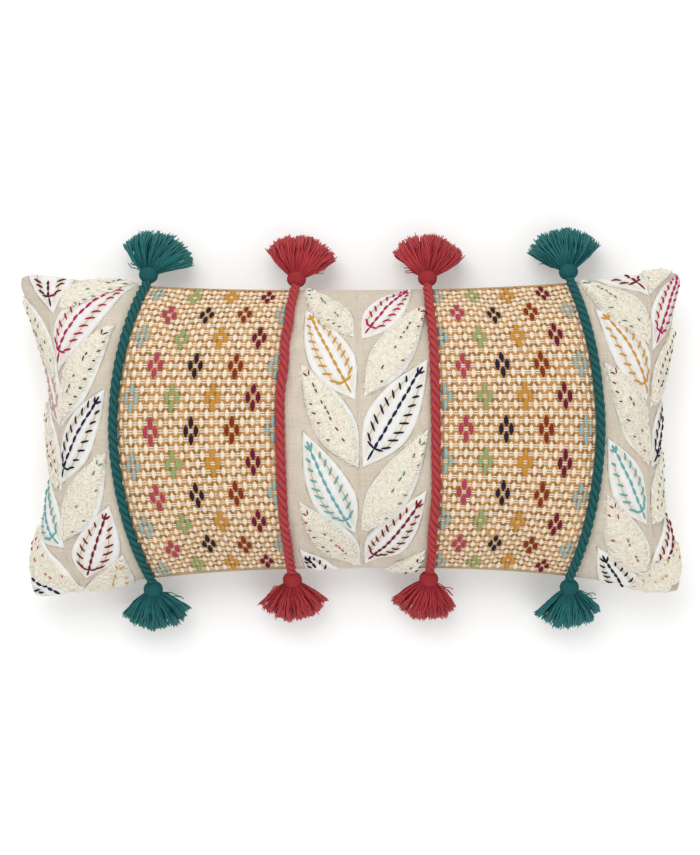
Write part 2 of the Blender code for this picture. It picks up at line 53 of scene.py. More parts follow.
# ---- The stuffed cover, as in the CAD ----
CORNERS = {
    (-1, 1): (-0.3035, 0.1444),
    (1, 1): (0.3035, 0.1472),
    (-1, -1): (-0.2875, -0.1545),
    (1, -1): (0.3025, -0.1508),
}
SIDE_PULL, TOP_PULL, BOTTOM_PULL, PULL_POWER = 0.0205, 0.0170, 0.0266, 2.6
SEAM_HEIGHT, FRONT_RISE, BACK_DROP = 0.0520, 0.0670, 0.0640
FRONT_SQUARE, BACK_SQUARE, CROSS_SQUARE, SHOULDER = 5.0, 8.0, 2.5, 0.8
TABLE_SOFTNESS = 0.0040
PANEL_SEAMS = {
    "left_outer": (-0.613, -0.769, -0.639),
    "left_inner": (-0.166, -0.237, -0.206),
    "right_inner": (0.233, 0.262, 0.223),
    "right_outer": (0.662, 0.786, 0.654),
}
CLOTH_HALF_HEIGHT = 0.152
CLOTH_CLOSING = 0.23
CORNER_FLAT, CORNER_POWER = 0.6, 5  # how flat the end panels lie at the corners, and how near them
PANELS = (
    "front_left_leaf_panel",
    "front_left_woven_panel",
    "front_centre_leaf_panel",
    "front_right_woven_panel",
    "front_right_leaf_panel",
)
PANEL_WIDTHS = np.array([0.105, 0.148, 0.139, 0.148, 0.105])
ZIP_Y, ZIP_HALF_LENGTH, ZIP_OPENING, ZIP_BLEND = -0.1055, 0.180, 0.0030, 0.0140
ZIP_STIFF, ZIP_FADE = 0.0065, 0.080  # half width of the stiff strip, and where it ends past the zip
ZIP_OPEN, ZIP_CLOSED = 0.007, 0.015  # past each end of the zip the opening narrows between these

# ---- Tassels, as in the CAD ----
TASSEL_TURNS = {
    ("left_outer", 1): -10.0,
    ("left_inner", 1): -8.0,
    ("right_inner", 1): -3.0,
    ("right_outer", 1): 6.0,
    ("left_outer", -1): 4.0,
    ("left_inner", -1): 2.0,
    ("right_inner", -1): -7.0,
    ("right_outer", -1): 3.0,
}
TASSEL_STAND_OFF, TASSEL_LIFT = 0.0012, 0.0015
HEAD_CENTRE, HEAD_RADIUS, HEAD_HALF_DEPTH = 0.0088, 0.0088, 0.0074


# ---- Small maths ----


def mix(low, high, share):
    return low + (high - low) * share


def smooth_step(value, start, end):
    share = np.clip((value - start) / (end - start), 0.0, 1.0)
    return share * share * (3.0 - 2.0 * share)


def eased(share):
    return np.sin(np.asarray(share) * HALF_PI)


def eased_row(count):
    """Shares from -1 to 1, closer together towards both ends."""
    return eased(np.linspace(-1.0, 1.0, count))


def bell(value):
    """1 at zero, dying away to almost nothing by 2 on either side."""
    return np.exp(-(value**2))


def unit(vectors):
    return vectors / np.maximum(np.linalg.norm(vectors, axis=-1, keepdims=True), 1e-12)


def swell(share, squareness):
    return np.maximum(0.0, 1.0 - np.abs(share) ** squareness) ** SHOULDER


def ripple(x, y, size, seed, waves=14):
    """Smooth irregular bumps about size metres across, from -1 to 1, the same every run."""
    source = default_rng(seed)
    total = np.zeros(np.broadcast(x, y).shape)
    for _ in range(waves):
        angle, phase = source.uniform(0.0, TURN, 2)
        rate = TURN / (size * source.uniform(0.7, 1.8))
        total += np.sin(rate * (x * math.cos(angle) + y * math.sin(angle)) + phase)
    return total / math.sqrt(waves) * 0.7


def plan(u, v):
    across, along = (v + 1.0) / 2.0, (u + 1.0) / 2.0
    pull_v, pull_u = 1.0 - np.abs(v) ** PULL_POWER, 1.0 - np.abs(u) ** PULL_POWER
    left = mix(CORNERS[(-1, -1)][0], CORNERS[(-1, 1)][0], across) + SIDE_PULL * pull_v
    right = mix(CORNERS[(1, -1)][0], CORNERS[(1, 1)][0], across) - SIDE_PULL * pull_v
    low = mix(CORNERS[(-1, -1)][1], CORNERS[(1, -1)][1], along) + BOTTOM_PULL * pull_u
    high = mix(CORNERS[(-1, 1)][1], CORNERS[(1, 1)][1], along) - TOP_PULL * pull_u
    return mix(left, right, along), mix(low, high, across)


def share_at_y(u, y):
    low, high = plan(u, -1.0)[1], plan(u, 1.0)[1]
    return 2.0 * (y - low) / (high - low) - 1.0


def front_points(u, v):
    x, y = plan(u, v)
    rise = FRONT_RISE * swell(u, FRONT_SQUARE) * swell(v, CROSS_SQUARE)
    return np.stack([x, y, SEAM_HEIGHT + rise], axis=-1)


def plain_back_height(u, v):
    drop = BACK_DROP * swell(u, BACK_SQUARE) * swell(v, CROSS_SQUARE)
    share = (drop - SEAM_HEIGHT + TABLE_SOFTNESS) / (2.0 * TABLE_SOFTNESS)
    settled = drop - TABLE_SOFTNESS * np.clip(share, 0.0, 1.0) ** 2
    return SEAM_HEIGHT - np.where(share >= 1.0, SEAM_HEIGHT, settled)


def zip_strip(x, y):
    """Share of the stiff, straight strip along the zip."""
    strip = 1.0 - smooth_step(np.abs(x), ZIP_HALF_LENGTH + ZIP_CLOSED, ZIP_HALF_LENGTH + ZIP_FADE)
    return strip * (1.0 - smooth_step(np.abs(y - ZIP_Y), ZIP_STIFF, ZIP_STIFF + ZIP_BLEND))


ZIP_STEP = 0.002
ZIP_SIDES = [
    float(plain_back_height(0.0, share_at_y(0.0, ZIP_Y + side * ZIP_STEP))) for side in (-1, 1)
]
ZIP_SLOPE = (ZIP_SIDES[1] - ZIP_SIDES[0]) / (2.0 * ZIP_STEP)
ZIP_HEIGHT = float(plain_back_height(0.0, share_at_y(0.0, ZIP_Y)))


def back_points(u, v):
    x, y = plan(u, v)
    height = plain_back_height(u, v)
    height = mix(height, ZIP_HEIGHT + ZIP_SLOPE * (y - ZIP_Y), zip_strip(x, y))
    return np.stack([x, y, height], axis=-1)


def seam_share(name, v):
    top, middle, bottom = PANEL_SEAMS[name]
    return mix(bottom, top, (v + 1.0) / 2.0) + (middle - (top + bottom) / 2.0) * (1.0 - v * v)


def panel_share(index, a, v):
    """Share u of the cover at share a across a panel, at height share v. The cloth of the end panels
    rounds the side of the stuffing, except near the corners, where it lies flat."""
    names = [None, *PANEL_SEAMS, None]
    before, after = names[index], names[index + 1]
    low = seam_share(before, v) if before else -1.0
    high = seam_share(after, v) if after else 1.0
    flat = CORNER_FLAT * np.abs(v) ** CORNER_POWER
    if not before:
        return mix(high, low, mix(eased(1.0 - a), 1.0 - a, flat))
    if not after:
        return mix(low, high, mix(eased(a), a, flat))
    return mix(low, high, a)


# ---- Objects ----


def make_object(name, points, faces, material, body="cover", slot=None, layers=None, smooth=True):
    """Mesh from arrays of points and of faces that all have the same number of corners."""
    points = np.asarray(points, np.float32).reshape(-1, 3)
    faces = np.asarray(faces, np.int32)
    mesh = bpy.data.meshes.new(name)
    mesh.vertices.add(len(points))
    mesh.vertices.foreach_set("co", points.ravel())
    mesh.loops.add(faces.size)
    mesh.loops.foreach_set("vertex_index", faces.ravel())
    mesh.polygons.add(len(faces))
    mesh.polygons.foreach_set("loop_start", np.arange(len(faces), dtype=np.int32) * faces.shape[1])
    if smooth:
        mesh.polygons.foreach_set("use_smooth", np.ones(len(faces), bool))
    for key, values in (layers or {}).items():
        values = np.asarray(values, np.float32)
        kind = "FLOAT_VECTOR" if values.ndim == 2 else "FLOAT"
        layer = mesh.attributes.new(key, kind, "POINT")
        layer.data.foreach_set("vector" if values.ndim == 2 else "value", values.ravel())
    mesh.update(calc_edges=True)
    mesh.validate()
    thing = bpy.data.objects.new(name, mesh)
    bpy.context.scene.collection.objects.link(thing)
    mesh.materials.append(material)
    if body:
        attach(thing, body)
    return thing


def quads_over(index, flip=False):
    """Quads over grids of point numbers, along the last two directions of index."""
    quads = [index[..., :-1, :-1], index[..., :-1, 1:], index[..., 1:, 1:], index[..., 1:, :-1]]
    quads = np.stack(quads, axis=-1).reshape(-1, 4)
    return quads[:, ::-1] if flip else quads


def grid_faces(rows, columns, flip=False):
    return quads_over(np.arange(rows * columns).reshape(rows, columns), flip)


def flattened(points):
    """Cloth layer of a piece whose weave runs as seen from straight above."""
    return (points * np.array([1.0, 1.0, 0.0])).reshape(-1, 3)


def tubes(paths, radii, across, sides=6, depth=1.0):
    """Tubes round many paths at once. paths is (tubes, points, 3), radii fits (tubes, points), and
    across is a direction square to each path, along which a tube keeps its full width; square to it
    the tube is depth times as thick. The last corner of each ring lies on the first, so that a layer
    can run on round the tube."""
    count, length = paths.shape[:2]
    along = unit(np.gradient(paths, axis=1))
    across = unit(across - along * np.sum(across * along, axis=-1, keepdims=True))
    up = np.cross(across, along)
    angles = np.linspace(0.0, TURN, sides + 1)
    ring = np.cos(angles)[:, None] * across[:, :, None, :]
    ring = ring + depth * np.sin(angles)[:, None] * up[:, :, None, :]
    points = paths[:, :, None, :] + np.broadcast_to(radii, (count, length))[..., None, None] * ring
    index = np.arange(count * length * (sides + 1)).reshape(count, length, sides + 1)
    return points, quads_over(index)


def threads(place, lines, radius, sides, depth, steps, arch, sink, end_share, taper):
    """Threads that arch over a cloth. lines holds the start and the end of each, in cloth
    coordinates, and place gives the point and the normal for cloth coordinates and a height."""
    share = np.linspace(0.0, 1.0, steps)[None, :]
    first, second = (mix(lines[:, 0, [axis]], lines[:, 1, [axis]], share) for axis in (0, 1))
    points, normals = place(first, second, arch * np.sin(math.pi * share) - sink)
    across = np.cross(np.gradient(points, axis=1), normals)
    radii = radius * np.sin(math.pi * mix(end_share, 1.0 - end_share, share)) ** taper
    return tubes(points, radii, across, sides, depth)


def merged(parts):
    """One array each of the points, the faces and any layers of several parts."""
    sizes = [np.size(points) // 3 for points, *_ in parts]
    starts = np.cumsum([0, *sizes])
    points = np.concatenate([np.reshape(part[0], (-1, 3)) for part in parts])
    faces = np.concatenate([part[1] + start for part, start in zip(parts, starts)])
    layers = [np.concatenate([np.ravel(layer) for layer in same]) for same in list(zip(*parts))[2:]]
    return points, faces, *layers


# ---- Materials ----


def linear(colour):
    """Linear colour from the usual 0 to 255 screen values."""
    share = np.asarray(colour, float) / 255.0
    low = share / 12.92
    high = ((share + 0.055) / 1.055) ** 2.4
    return tuple(float(value) for value in np.where(share <= 0.04045, low, high))


class Nodes:
    """A Principled material and short ways to add the nodes that feed it."""

    def __init__(self, name, colour, roughness=0.9, metallic=0.0, sheen=0.0):
        self.material = bpy.data.materials.new(name)
        self.material.use_nodes = True
        self.tree = self.material.node_tree
        self.shader = self.tree.nodes["Principled BSDF"]
        self.set("Base Color", (*linear(colour), 1.0))
        self.set("Roughness", roughness)
        self.set("Metallic", metallic)
        self.set("Sheen Weight", sheen)
        self.set("Sheen Roughness", 0.6)
        self.set("Specular IOR Level", 0.5 if metallic else 0.10)

    def set(self, socket, value):
        self.plug(self.shader.inputs[socket], value)

    def plug(self, socket, value):
        """Feed an input from another node's output, or give it a plain value."""
        if isinstance(value, bpy.types.NodeSocket):
            self.tree.links.new(value, socket)
        else:
            socket.default_value = value

    def add(self, kind, **inputs):
        node = self.tree.nodes.new(f"ShaderNode{kind}")
        for key, value in inputs.items():
            self.plug(node.inputs[key.replace("_", " ")], value)
        return node

    def maths(self, operation, *values):
        node = self.add("Math")
        node.operation = operation
        for socket, value in zip(node.inputs, values):
            self.plug(socket, value)
        return node.outputs[0]

    def total(self, *terms):
        """Sum of outputs, each times its weight."""
        result = 0.0
        for output, weight in terms:
            result = self.maths("MULTIPLY_ADD", output, weight, result)
        return result

    def layer(self, name, output="Fac"):
        node = self.add("Attribute")
        node.attribute_name = name
        return node.outputs[output]

    def place(self):
        return self.add("TexCoord").outputs["Object"]

    def scaled(self, vector, by):
        return self.add("Mapping", Vector=vector, Scale=by).outputs["Vector"]

    def noise(self, vector, scale, detail=2.0):
        return self.add("TexNoise", Vector=vector, Scale=scale, Detail=detail).outputs["Fac"]

    def blend(self, share, low, high):
        """Colour between two, each a screen colour or an output."""
        node = self.add("Mix")
        node.data_type = "RGBA"
        for key, value in (("Factor", share), ("A", low), ("B", high)):
            screen = isinstance(value, tuple)
            self.plug(node.inputs[key], (*linear(value), 1.0) if screen else value)
        return node.outputs["Result"]

    def ramp(self, value, low, high):
        """Value mapped from low..high to 0..1 and clamped."""
        return self.add("MapRange", Value=value, From_Min=low, From_Max=high).outputs["Result"]

    def rough_from(self, value, low, high):
        spread = self.add("MapRange", Value=value, To_Min=low, To_Max=high)
        self.set("Roughness", spread.outputs["Result"])

    def bump_from(self, height, distance):
        bump = self.add("Bump", Height=height, Distance=distance, Strength=1.0)
        self.set("Normal", bump.outputs["Normal"])


def woven_cloth(name, colour, dark, light, pitch, slub, bump, sheen=0.15):
    """Plain weave that follows the cloth layer: warp and weft threads, slubs and a soft mottle."""
    nodes = Nodes(name, colour, 0.95, sheen=sheen)
    cloth = nodes.layer("cloth", "Vector")
    parts = nodes.add("SeparateXYZ", Vector=cloth)
    rate = TURN / pitch
    warp = nodes.maths("SINE", nodes.maths("MULTIPLY", parts.outputs["X"], rate))
    weft = nodes.maths("SINE", nodes.maths("MULTIPLY", parts.outputs["Y"], rate))
    weave = nodes.maths("MULTIPLY", warp, weft)
    slub_weft = nodes.noise(nodes.scaled(cloth, (60.0, 1300.0, 1.0)), 1.0)
    slub_warp = nodes.noise(nodes.scaled(cloth, (1300.0, 60.0, 1.0)), 1.0)
    slubs = nodes.maths("ADD", slub_weft, slub_warp)
    shade = nodes.total((slubs, slub), (nodes.noise(cloth, 55.0), 0.6), (weave, 0.05))
    nodes.set("Base Color", nodes.blend(nodes.ramp(shade, slub, slub + 0.6), dark, light))
    nodes.bump_from(nodes.total((weave, 0.35), (slubs, 0.9)), bump)
    nodes.rough_from(slub_weft, 0.86, 1.0)
    return nodes.material


def yarn(name, colour, dark, light, tip=None, twist=0.0004):
    """Twisted yarn: the twist layer counts turns, the shade layer is 0 deep between strands and 1
    outside, and the tone layer goes from 0 to 1 along a strand. The colour holds painted shade: the
    shade layer and the twist turns blend it towards dark in the grooves and between strands and towards
    light outside, and the fibre noise adds random tone."""
    nodes = Nodes(name, colour, 0.9)
    wave = nodes.maths("SINE", nodes.maths("MULTIPLY", nodes.layer("twist"), TURN))
    fibres = nodes.noise(nodes.place(), 900.0, 1.0)
    # painted shade: the twist turns and the shade layer darken the yarn in its grooves and between
    # strands; the fibre noise is random tone
    shade = nodes.total((wave, 0.10), (fibres, 0.5), (nodes.layer("shade"), 1.0))
    result = nodes.blend(nodes.ramp(shade, 0.15, 1.30), dark, light)
    if tip:
        result = nodes.blend(nodes.ramp(nodes.layer("tone"), 0.60, 1.25), result, tip)
    nodes.set("Base Color", result)
    nodes.bump_from(nodes.total((wave, 1.0), (fibres, 0.6)), twist)
    nodes.rough_from(fibres, 0.84, 1.0)
    return nodes.material


def plain_yarn(name, colour, bump=0.0003, sheen=0.0, scale=1100.0):
    """Fine thread of one dye lot, with its fibres in the relief and the gloss."""
    nodes = Nodes(name, colour, 0.9, sheen=sheen)
    fibres = nodes.noise(nodes.place(), scale, 1.0)
    nodes.bump_from(fibres, bump)
    nodes.rough_from(fibres, 0.8, 1.0)
    return nodes.material


# ---- The cloth simulation ----

GRID_COLUMNS, GRID_ROWS = 133, 67
CLOTH_FRAMES = 20
CLOTH_CAP = 0.0055
CLOTH_SETTINGS = {
    "quality": 5,
    "mass": 0.15,
    "tension_stiffness": 12.0,
    "compression_stiffness": 12.0,
    "shear_stiffness": 6.0,
    "bending_stiffness": 0.25,
    "shrink_min": -0.025,
    "shrink_max": -0.025,
    "use_pressure": True,
    "uniform_pressure_force": 4.0,
    "vertex_group_mass": "held",
}
SEAM_HOLD, SEAM_HOLD_WIDTH = 0.35, 0.012
FADE_ALONG, FADE_ACROSS = 0.10, 0.06  # shares near the edge seam over which the push dies away
TABLE_GAP = 0.0001
FINER = 4


def cover_grid():
    """Front and back points of the stuffed cover on one grid of shares."""
    u, v = np.meshgrid(eased_row(GRID_COLUMNS), eased_row(GRID_ROWS))
    return u, v, front_points(u, v), back_points(u, v)


def simulate(u, v, front, back):
    """How far the stuffing pushes each point of the cover, from a cloth simulation in which the
    edge seam stays where the CAD has it and the cords hold the panel seams down."""
    columns, rows = GRID_COLUMNS, GRID_ROWS
    edge = np.zeros((rows, columns), bool)
    edge[0], edge[-1], edge[:, 0], edge[:, -1] = True, True, True, True
    front_index = np.arange(rows * columns).reshape(rows, columns)
    back_index = front_index.copy()
    back_index[~edge] = rows * columns + np.arange((~edge).sum())
    points = np.concatenate([front.reshape(-1, 3), back[~edge]])
    faces = np.concatenate([quads_over(front_index), quads_over(back_index, True)])
    shell = make_object("cloth", points, faces, None, body=None)
    held = shell.vertex_groups.new(name="held")
    held.add(front_index[edge].tolist(), 1.0, "REPLACE")
    for name in PANEL_SEAMS:
        near = np.abs(u - seam_share(name, v)) < SEAM_HOLD_WIDTH
        held.add(front_index[near & ~edge].tolist(), SEAM_HOLD, "REPLACE")
    cloth = shell.modifiers.new("stuffing", "CLOTH")
    for key, value in CLOTH_SETTINGS.items():
        setattr(cloth.settings, key, value)
    cloth.settings.effector_weights.gravity = 0.0
    cloth.collision_settings.use_collision = False
    scene = bpy.context.scene
    for number in range(1, CLOTH_FRAMES + 1):
        scene.frame_set(number)
    evaluated = shell.evaluated_get(bpy.context.evaluated_depsgraph_get())
    moved = np.empty(len(points) * 3, np.float32)
    evaluated.data.vertices.foreach_get("co", moved)
    scene.frame_set(1)
    mesh = shell.data
    bpy.data.objects.remove(shell, do_unlink=True)
    bpy.data.meshes.remove(mesh)
    push = moved.reshape(-1, 3) - points
    push_front = push[: rows * columns].reshape(rows, columns, 3)
    push_back = np.zeros_like(back)
    push_back[~edge] = push[rows * columns :]
    free = smooth_step(1.0 - np.abs(u), 0.0, FADE_ALONG)
    free = free * smooth_step(1.0 - np.abs(v), 0.0, FADE_ACROSS)
    held_down = np.clip(1.2 - seam_dip(u, v), 0.0, 1.0)
    push_front = outward_push(front, push_front, 1.0) * (free * held_down)[..., None]
    push_back = outward_push(back, push_back, -1.0) * free[..., None]
    push_back *= (1.0 - zip_strip(back[..., 0], back[..., 1]))[..., None]
    return push_front, push_back


def face_normals(points, outward):
    return unit(np.cross(np.gradient(points, axis=1), np.gradient(points, axis=0))) * outward


def outward_push(points, push, outward):
    """The part of a push square to the face, smoothed and kept within the cap."""
    normals = face_normals(points, outward)
    size = np.sum(push * normals, axis=-1, keepdims=True)
    for _ in range(2):
        size[1:-1] = (size[:-2] + 2.0 * size[1:-1] + size[2:]) / 4.0
        size[:, 1:-1] = (size[:, :-2] + 2.0 * size[:, 1:-1] + size[:, 2:]) / 4.0
    return normals * CLOTH_CAP * np.tanh(size / CLOTH_CAP)


def refine(values):
    """Catmull-Rom points between those of a grid, along both of its directions."""
    share = np.arange(FINER) / FINER
    weights = np.stack(
        [
            -0.5 * share + share**2 - 0.5 * share**3,
            1.0 - 2.5 * share**2 + 1.5 * share**3,
            0.5 * share + 2.0 * share**2 - 1.5 * share**3,
            -0.5 * share**2 + 0.5 * share**3,
        ]
    )
    for _ in range(2):
        first, last = 2.0 * values[:1] - values[1:2], 2.0 * values[-1:] - values[-2:-1]
        longer = np.concatenate([first, values, last])
        spans = [longer[shift : shift + len(values) - 1] for shift in range(4)]
        finer = sum(weight[None, :, None, None] * span[:, None] for weight, span in zip(weights, spans))
        finer = finer.reshape(-1, *values.shape[1:])
        values = np.swapaxes(np.concatenate([finer, values[-1:]]), 0, 1)
    return values


class Surface:
    """One face of the cover: points and outward normals at any shares u and v."""

    def __init__(self, points, outward):
        self.points = refine(points)
        rows, columns = self.points.shape[:2]
        self.points[..., 2] = np.maximum(self.points[..., 2], TABLE_GAP)
        self.normals = face_normals(self.points, outward)
        self.last = np.array([rows - 1, columns - 1])

    def at(self, u, v, lift=0.0):
        """Points lifted off the face, and the normals there."""
        u, v, lift = np.broadcast_arrays(u, v, lift)
        places = []
        for share, last in ((v, self.last[0]), (u, self.last[1])):
            value = (np.arcsin(np.clip(share, -1.0, 1.0)) / HALF_PI + 1.0) / 2.0 * last
            whole = np.minimum(value.astype(int), last - 1)
            places.append((whole, (value - whole)[..., None]))
        (row, up), (column, over) = places

        def between(values):
            low = mix(values[row, column], values[row, column + 1], over)
            return mix(low, mix(values[row + 1, column], values[row + 1, column + 1], over), up)

        normals = unit(between(self.normals))
        return between(self.points) + normals * lift[..., None], normals


def cloth_height(t):
    n = np.clip(t / CLOTH_HALF_HEIGHT, -1.0, 1.0)
    return n + CLOTH_CLOSING * n * (1.0 - n * n)


SEAM_DIP, SEAM_DIP_WIDTH = 0.0022, 0.022


def seam_dip(u, v):
    """The cords pull the panel seams down a little, so that the panels swell between them."""
    return sum(bell((u - seam_share(name, v)) / SEAM_DIP_WIDTH) for name in PANEL_SEAMS)


# Where the sides stand fuller or slacker than the even curve of the CAD outline: side, place on the
# height share v, how far out and over what part of the height
SIDE_FULLNESS = (
    (1, 0.62, 0.0050, 0.40),
    (1, -0.74, 0.0070, 0.22),
    (-1, 0.90, 0.0030, 0.12),
    (-1, 0.36, -0.0040, 0.20),
    (-1, -0.74, 0.0110, 0.28),
)
FULLNESS_POWER = 14  # how quickly that dies away from the side inwards
CORNER_RADIUS = 0.015
HALF_LENGTH, HALF_WIDTH = 0.300, 0.150


def soften_outline(u, v, points):
    """Blunt corners and uneven sides of a sewn and turned cover."""
    for side, place, out, spread in SIDE_FULLNESS:
        reach = np.clip(side * u, 0.0, 1.0) ** FULLNESS_POWER
        points[..., 0] += side * out * reach * bell((v - place) / spread)
    in_x = np.minimum((1.0 - np.abs(u)) * HALF_LENGTH - CORNER_RADIUS, 0.0)
    in_y = np.minimum((1.0 - np.abs(v)) * HALF_WIDTH - CORNER_RADIUS, 0.0)
    shrink = np.maximum(-in_x, -in_y) / np.maximum(np.hypot(in_x, in_y), 1e-9)
    shrink = np.where(np.minimum(-in_x, -in_y) > 0.0, shrink, 1.0)
    points[..., 0] -= np.sign(u) * in_x * (shrink - 1.0)
    points[..., 1] -= np.sign(v) * in_y * (shrink - 1.0)


def shape_cover():
    u, v, front, back = cover_grid()
    push_front, push_back = simulate(u, v, front, back)
    front, back = front + push_front, back + push_back
    rim = np.clip((1.0 - np.maximum(np.abs(u), np.abs(v))) * 12.0, 0.0, 1.0)
    front[..., 2] -= SEAM_DIP * seam_dip(u, v) * rim
    for points in (front, back):
        soften_outline(u, v, points)
    return Surface(front, 1.0), Surface(back, -1.0)


FRONT, BACK = shape_cover()


def on_cloth(panel, s, t, lift=0.0):
    """Point s metres from a panel's left seam and t metres up the cloth, and the normal there.
    Anything past the edge seam sticks out level from it."""
    v = cloth_height(t)
    width = PANEL_WIDTHS[panel]
    points, normals = FRONT.at(panel_share(panel, np.clip(s / width, 0.0, 1.0), v), v, lift)
    over_t = np.maximum(np.abs(t) - CLOTH_HALF_HEIGHT, 0.0) * np.sign(t)
    over_s = np.maximum(s - width, 0.0) - np.maximum(-s, 0.0)
    points[..., 0] += over_s
    points[..., 1] += over_t
    return points, normals


def cloth_place(panel, x, y):
    """Cloth coordinates of the point of a panel seen at x and y from straight above."""
    u, v = 0.0, 0.0
    for _ in range(40):
        at_x, at_y = plan(u, v)
        u = float(np.clip(u + (x - at_x) / HALF_LENGTH, -1.0, 1.0))
        v = float(np.clip(v + (y - at_y) / HALF_WIDTH, -1.0, 1.0))
    at_x, at_y = plan(u, v)
    shares = np.linspace(0.0, 1.0, 400)
    s = PANEL_WIDTHS[panel] * float(np.interp(u, panel_share(panel, shares, v), shares))
    heights = np.linspace(-1.0, 1.0, 800) * CLOTH_HALF_HEIGHT
    t = float(np.interp(v, cloth_height(heights), heights))
    return s + (x - at_x), t + (y - at_y)


# ---- Cover panels and insert ----

LINEN = woven_cloth(
    "oatmeal_linen", (214, 203, 184), (203, 190, 171), (224, 213, 196), 0.0011, 1.0, 0.00030
)
# woven ground: its own tan, darkened with painted shade for the gaps between the raised floats
WOVEN_GROUND = woven_cloth(
    "woven_ground", (206, 170, 122), (172, 134, 84), (224, 193, 148), 0.0009, 0.9, 0.0005
)
BACK_CLOTH = woven_cloth(
    "back_cotton", (226, 217, 200), (212, 202, 184), (236, 228, 213), 0.0009, 0.8, 0.0004
)
CASING = woven_cloth(
    "casing_cotton", (236, 233, 226), (226, 222, 214), (243, 240, 234), 0.0007, 0.5, 0.0003
)

PANEL_STEP = 0.0017
PANEL_RIPPLE, PANEL_RIPPLE_SIZE = 0.00035, 0.022
VEIN_DEPTH, VEIN_WIDTH = 0.0009, 0.0009
SWELL_HEIGHT, SWELL_OUT, SWELL_WIDTH = 0.0006, 0.0022, 0.0016  # on either side of a vein
INSERT_DEPTH = 0.0032  # of the insert under the face of the cover
INSERT_ALONG, INSERT_ACROSS = 0.985, 0.970  # size of the insert as a share of the cover's
CLOSED_GAP = 0.0003  # from the back seam past the zip to either piece's edge
# Fold down the middle of each leaf panel, from its foot up, as seen from above, in millimetres
FOLDS = {
    0: ((-248, -137), (-258, -100), (-262, -55), (-266, 19), (-270, 55), (-275, 92), (-278, 125)),
    2: ((8, -128), (8, 0), (7, 128)),
    4: ((271, -135), (273, -50), (273, 60), (273, 130)),
}
VEINS = {}
for fold_panel, fold in FOLDS.items():
    fold = np.array([cloth_place(fold_panel, x / 1000.0, y / 1000.0) for x, y in fold])
    VEINS[fold_panel] = (fold[:, 1], fold[:, 0])


def make_panel(index):
    """One front panel, from seam to seam, with a faint fold down the vein of a leaf panel."""
    name, width = PANELS[index], PANEL_WIDTHS[index]
    columns = round(width / PANEL_STEP) + 1
    rows = round(2.0 * CLOTH_HALF_HEIGHT / PANEL_STEP) + 1
    a, n = np.meshgrid(np.linspace(0.0, 1.0, columns), eased_row(rows))
    s, t = a * width, n * CLOTH_HALF_HEIGHT
    lift = PANEL_RIPPLE * ripple(s, t, PANEL_RIPPLE_SIZE, 3 + index)
    if index in VEINS:
        vein = np.interp(t, *VEINS[index])
        lift = lift - VEIN_DEPTH * bell((s - vein) / VEIN_WIDTH)
        lift = lift + SWELL_HEIGHT * bell((np.abs(s - vein) - SWELL_OUT) / SWELL_WIDTH)
    lift = lift * np.clip((1.0 - np.abs(n)) * 20.0, 0.0, 1.0)
    points, _ = on_cloth(index, s, t, lift)
    cloth = np.stack([s, t, np.zeros_like(s)], axis=-1).reshape(-1, 3)
    woven = "woven" in name
    piece = make_object(
        f"{name}_cloth", points, grid_faces(rows, columns), WOVEN_GROUND if woven else LINEN,
        slot="woven_panel" if woven else "oatmeal_linen", layers={"cloth": cloth},
    )
    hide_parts(name)


def make_insert():
    """Both faces of the stuffing, sunk under the cover and joined round the edge."""
    columns, rows = 71, 37
    u, v = np.meshgrid(eased_row(columns), eased_row(rows))
    halves = [face.at(u * INSERT_ALONG, v * INSERT_ACROSS, -INSERT_DEPTH)[0] for face in (FRONT, BACK)]
    index = np.arange(rows * columns).reshape(rows, columns)
    rim = np.concatenate([index[0], index[1:, -1], index[-1, -2::-1], index[-2:0:-1, 0]])
    under = rows * columns
    edge = np.stack([rim, rim + under, np.roll(rim, -1) + under, np.roll(rim, -1)], axis=-1)
    faces = np.concatenate([quads_over(index), quads_over(index, True) + under, edge])
    points = np.concatenate(halves).reshape(-1, 3)
    piece = make_object(
        "stuffed_insert", points, faces, CASING,
        slot="casing_cotton", layers={"cloth": flattened(points)},
    )
    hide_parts("insert_fill", "insert_front_casing", "insert_back_casing")


def make_back():
    """Back cover in two pieces, one each side of the zip opening."""
    columns = 241
    for name, side, rows in (("back_main_panel", 1, 121), ("back_lower_panel", -1, 25)):
        u = eased_row(columns)
        x = plan(u, share_at_y(u, ZIP_Y))[0]
        closed = smooth_step(np.abs(x), ZIP_HALF_LENGTH + ZIP_OPEN, ZIP_HALF_LENGTH + ZIP_CLOSED)
        edge = share_at_y(u, ZIP_Y + side * mix(ZIP_OPENING, CLOSED_GAP, closed))
        b = np.linspace(0.0, 1.0, rows)[:, None]
        v = mix(edge[None, :], float(side), eased(b))
        points, _ = BACK.at(np.broadcast_to(u, v.shape), v)
        piece = make_object(
            f"{name}_cloth", points, grid_faces(rows, columns, side > 0), BACK_CLOTH,
            slot="back_cotton", layers={"cloth": flattened(points)},
        )
        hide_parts(name)


# ---- Woven panels ----

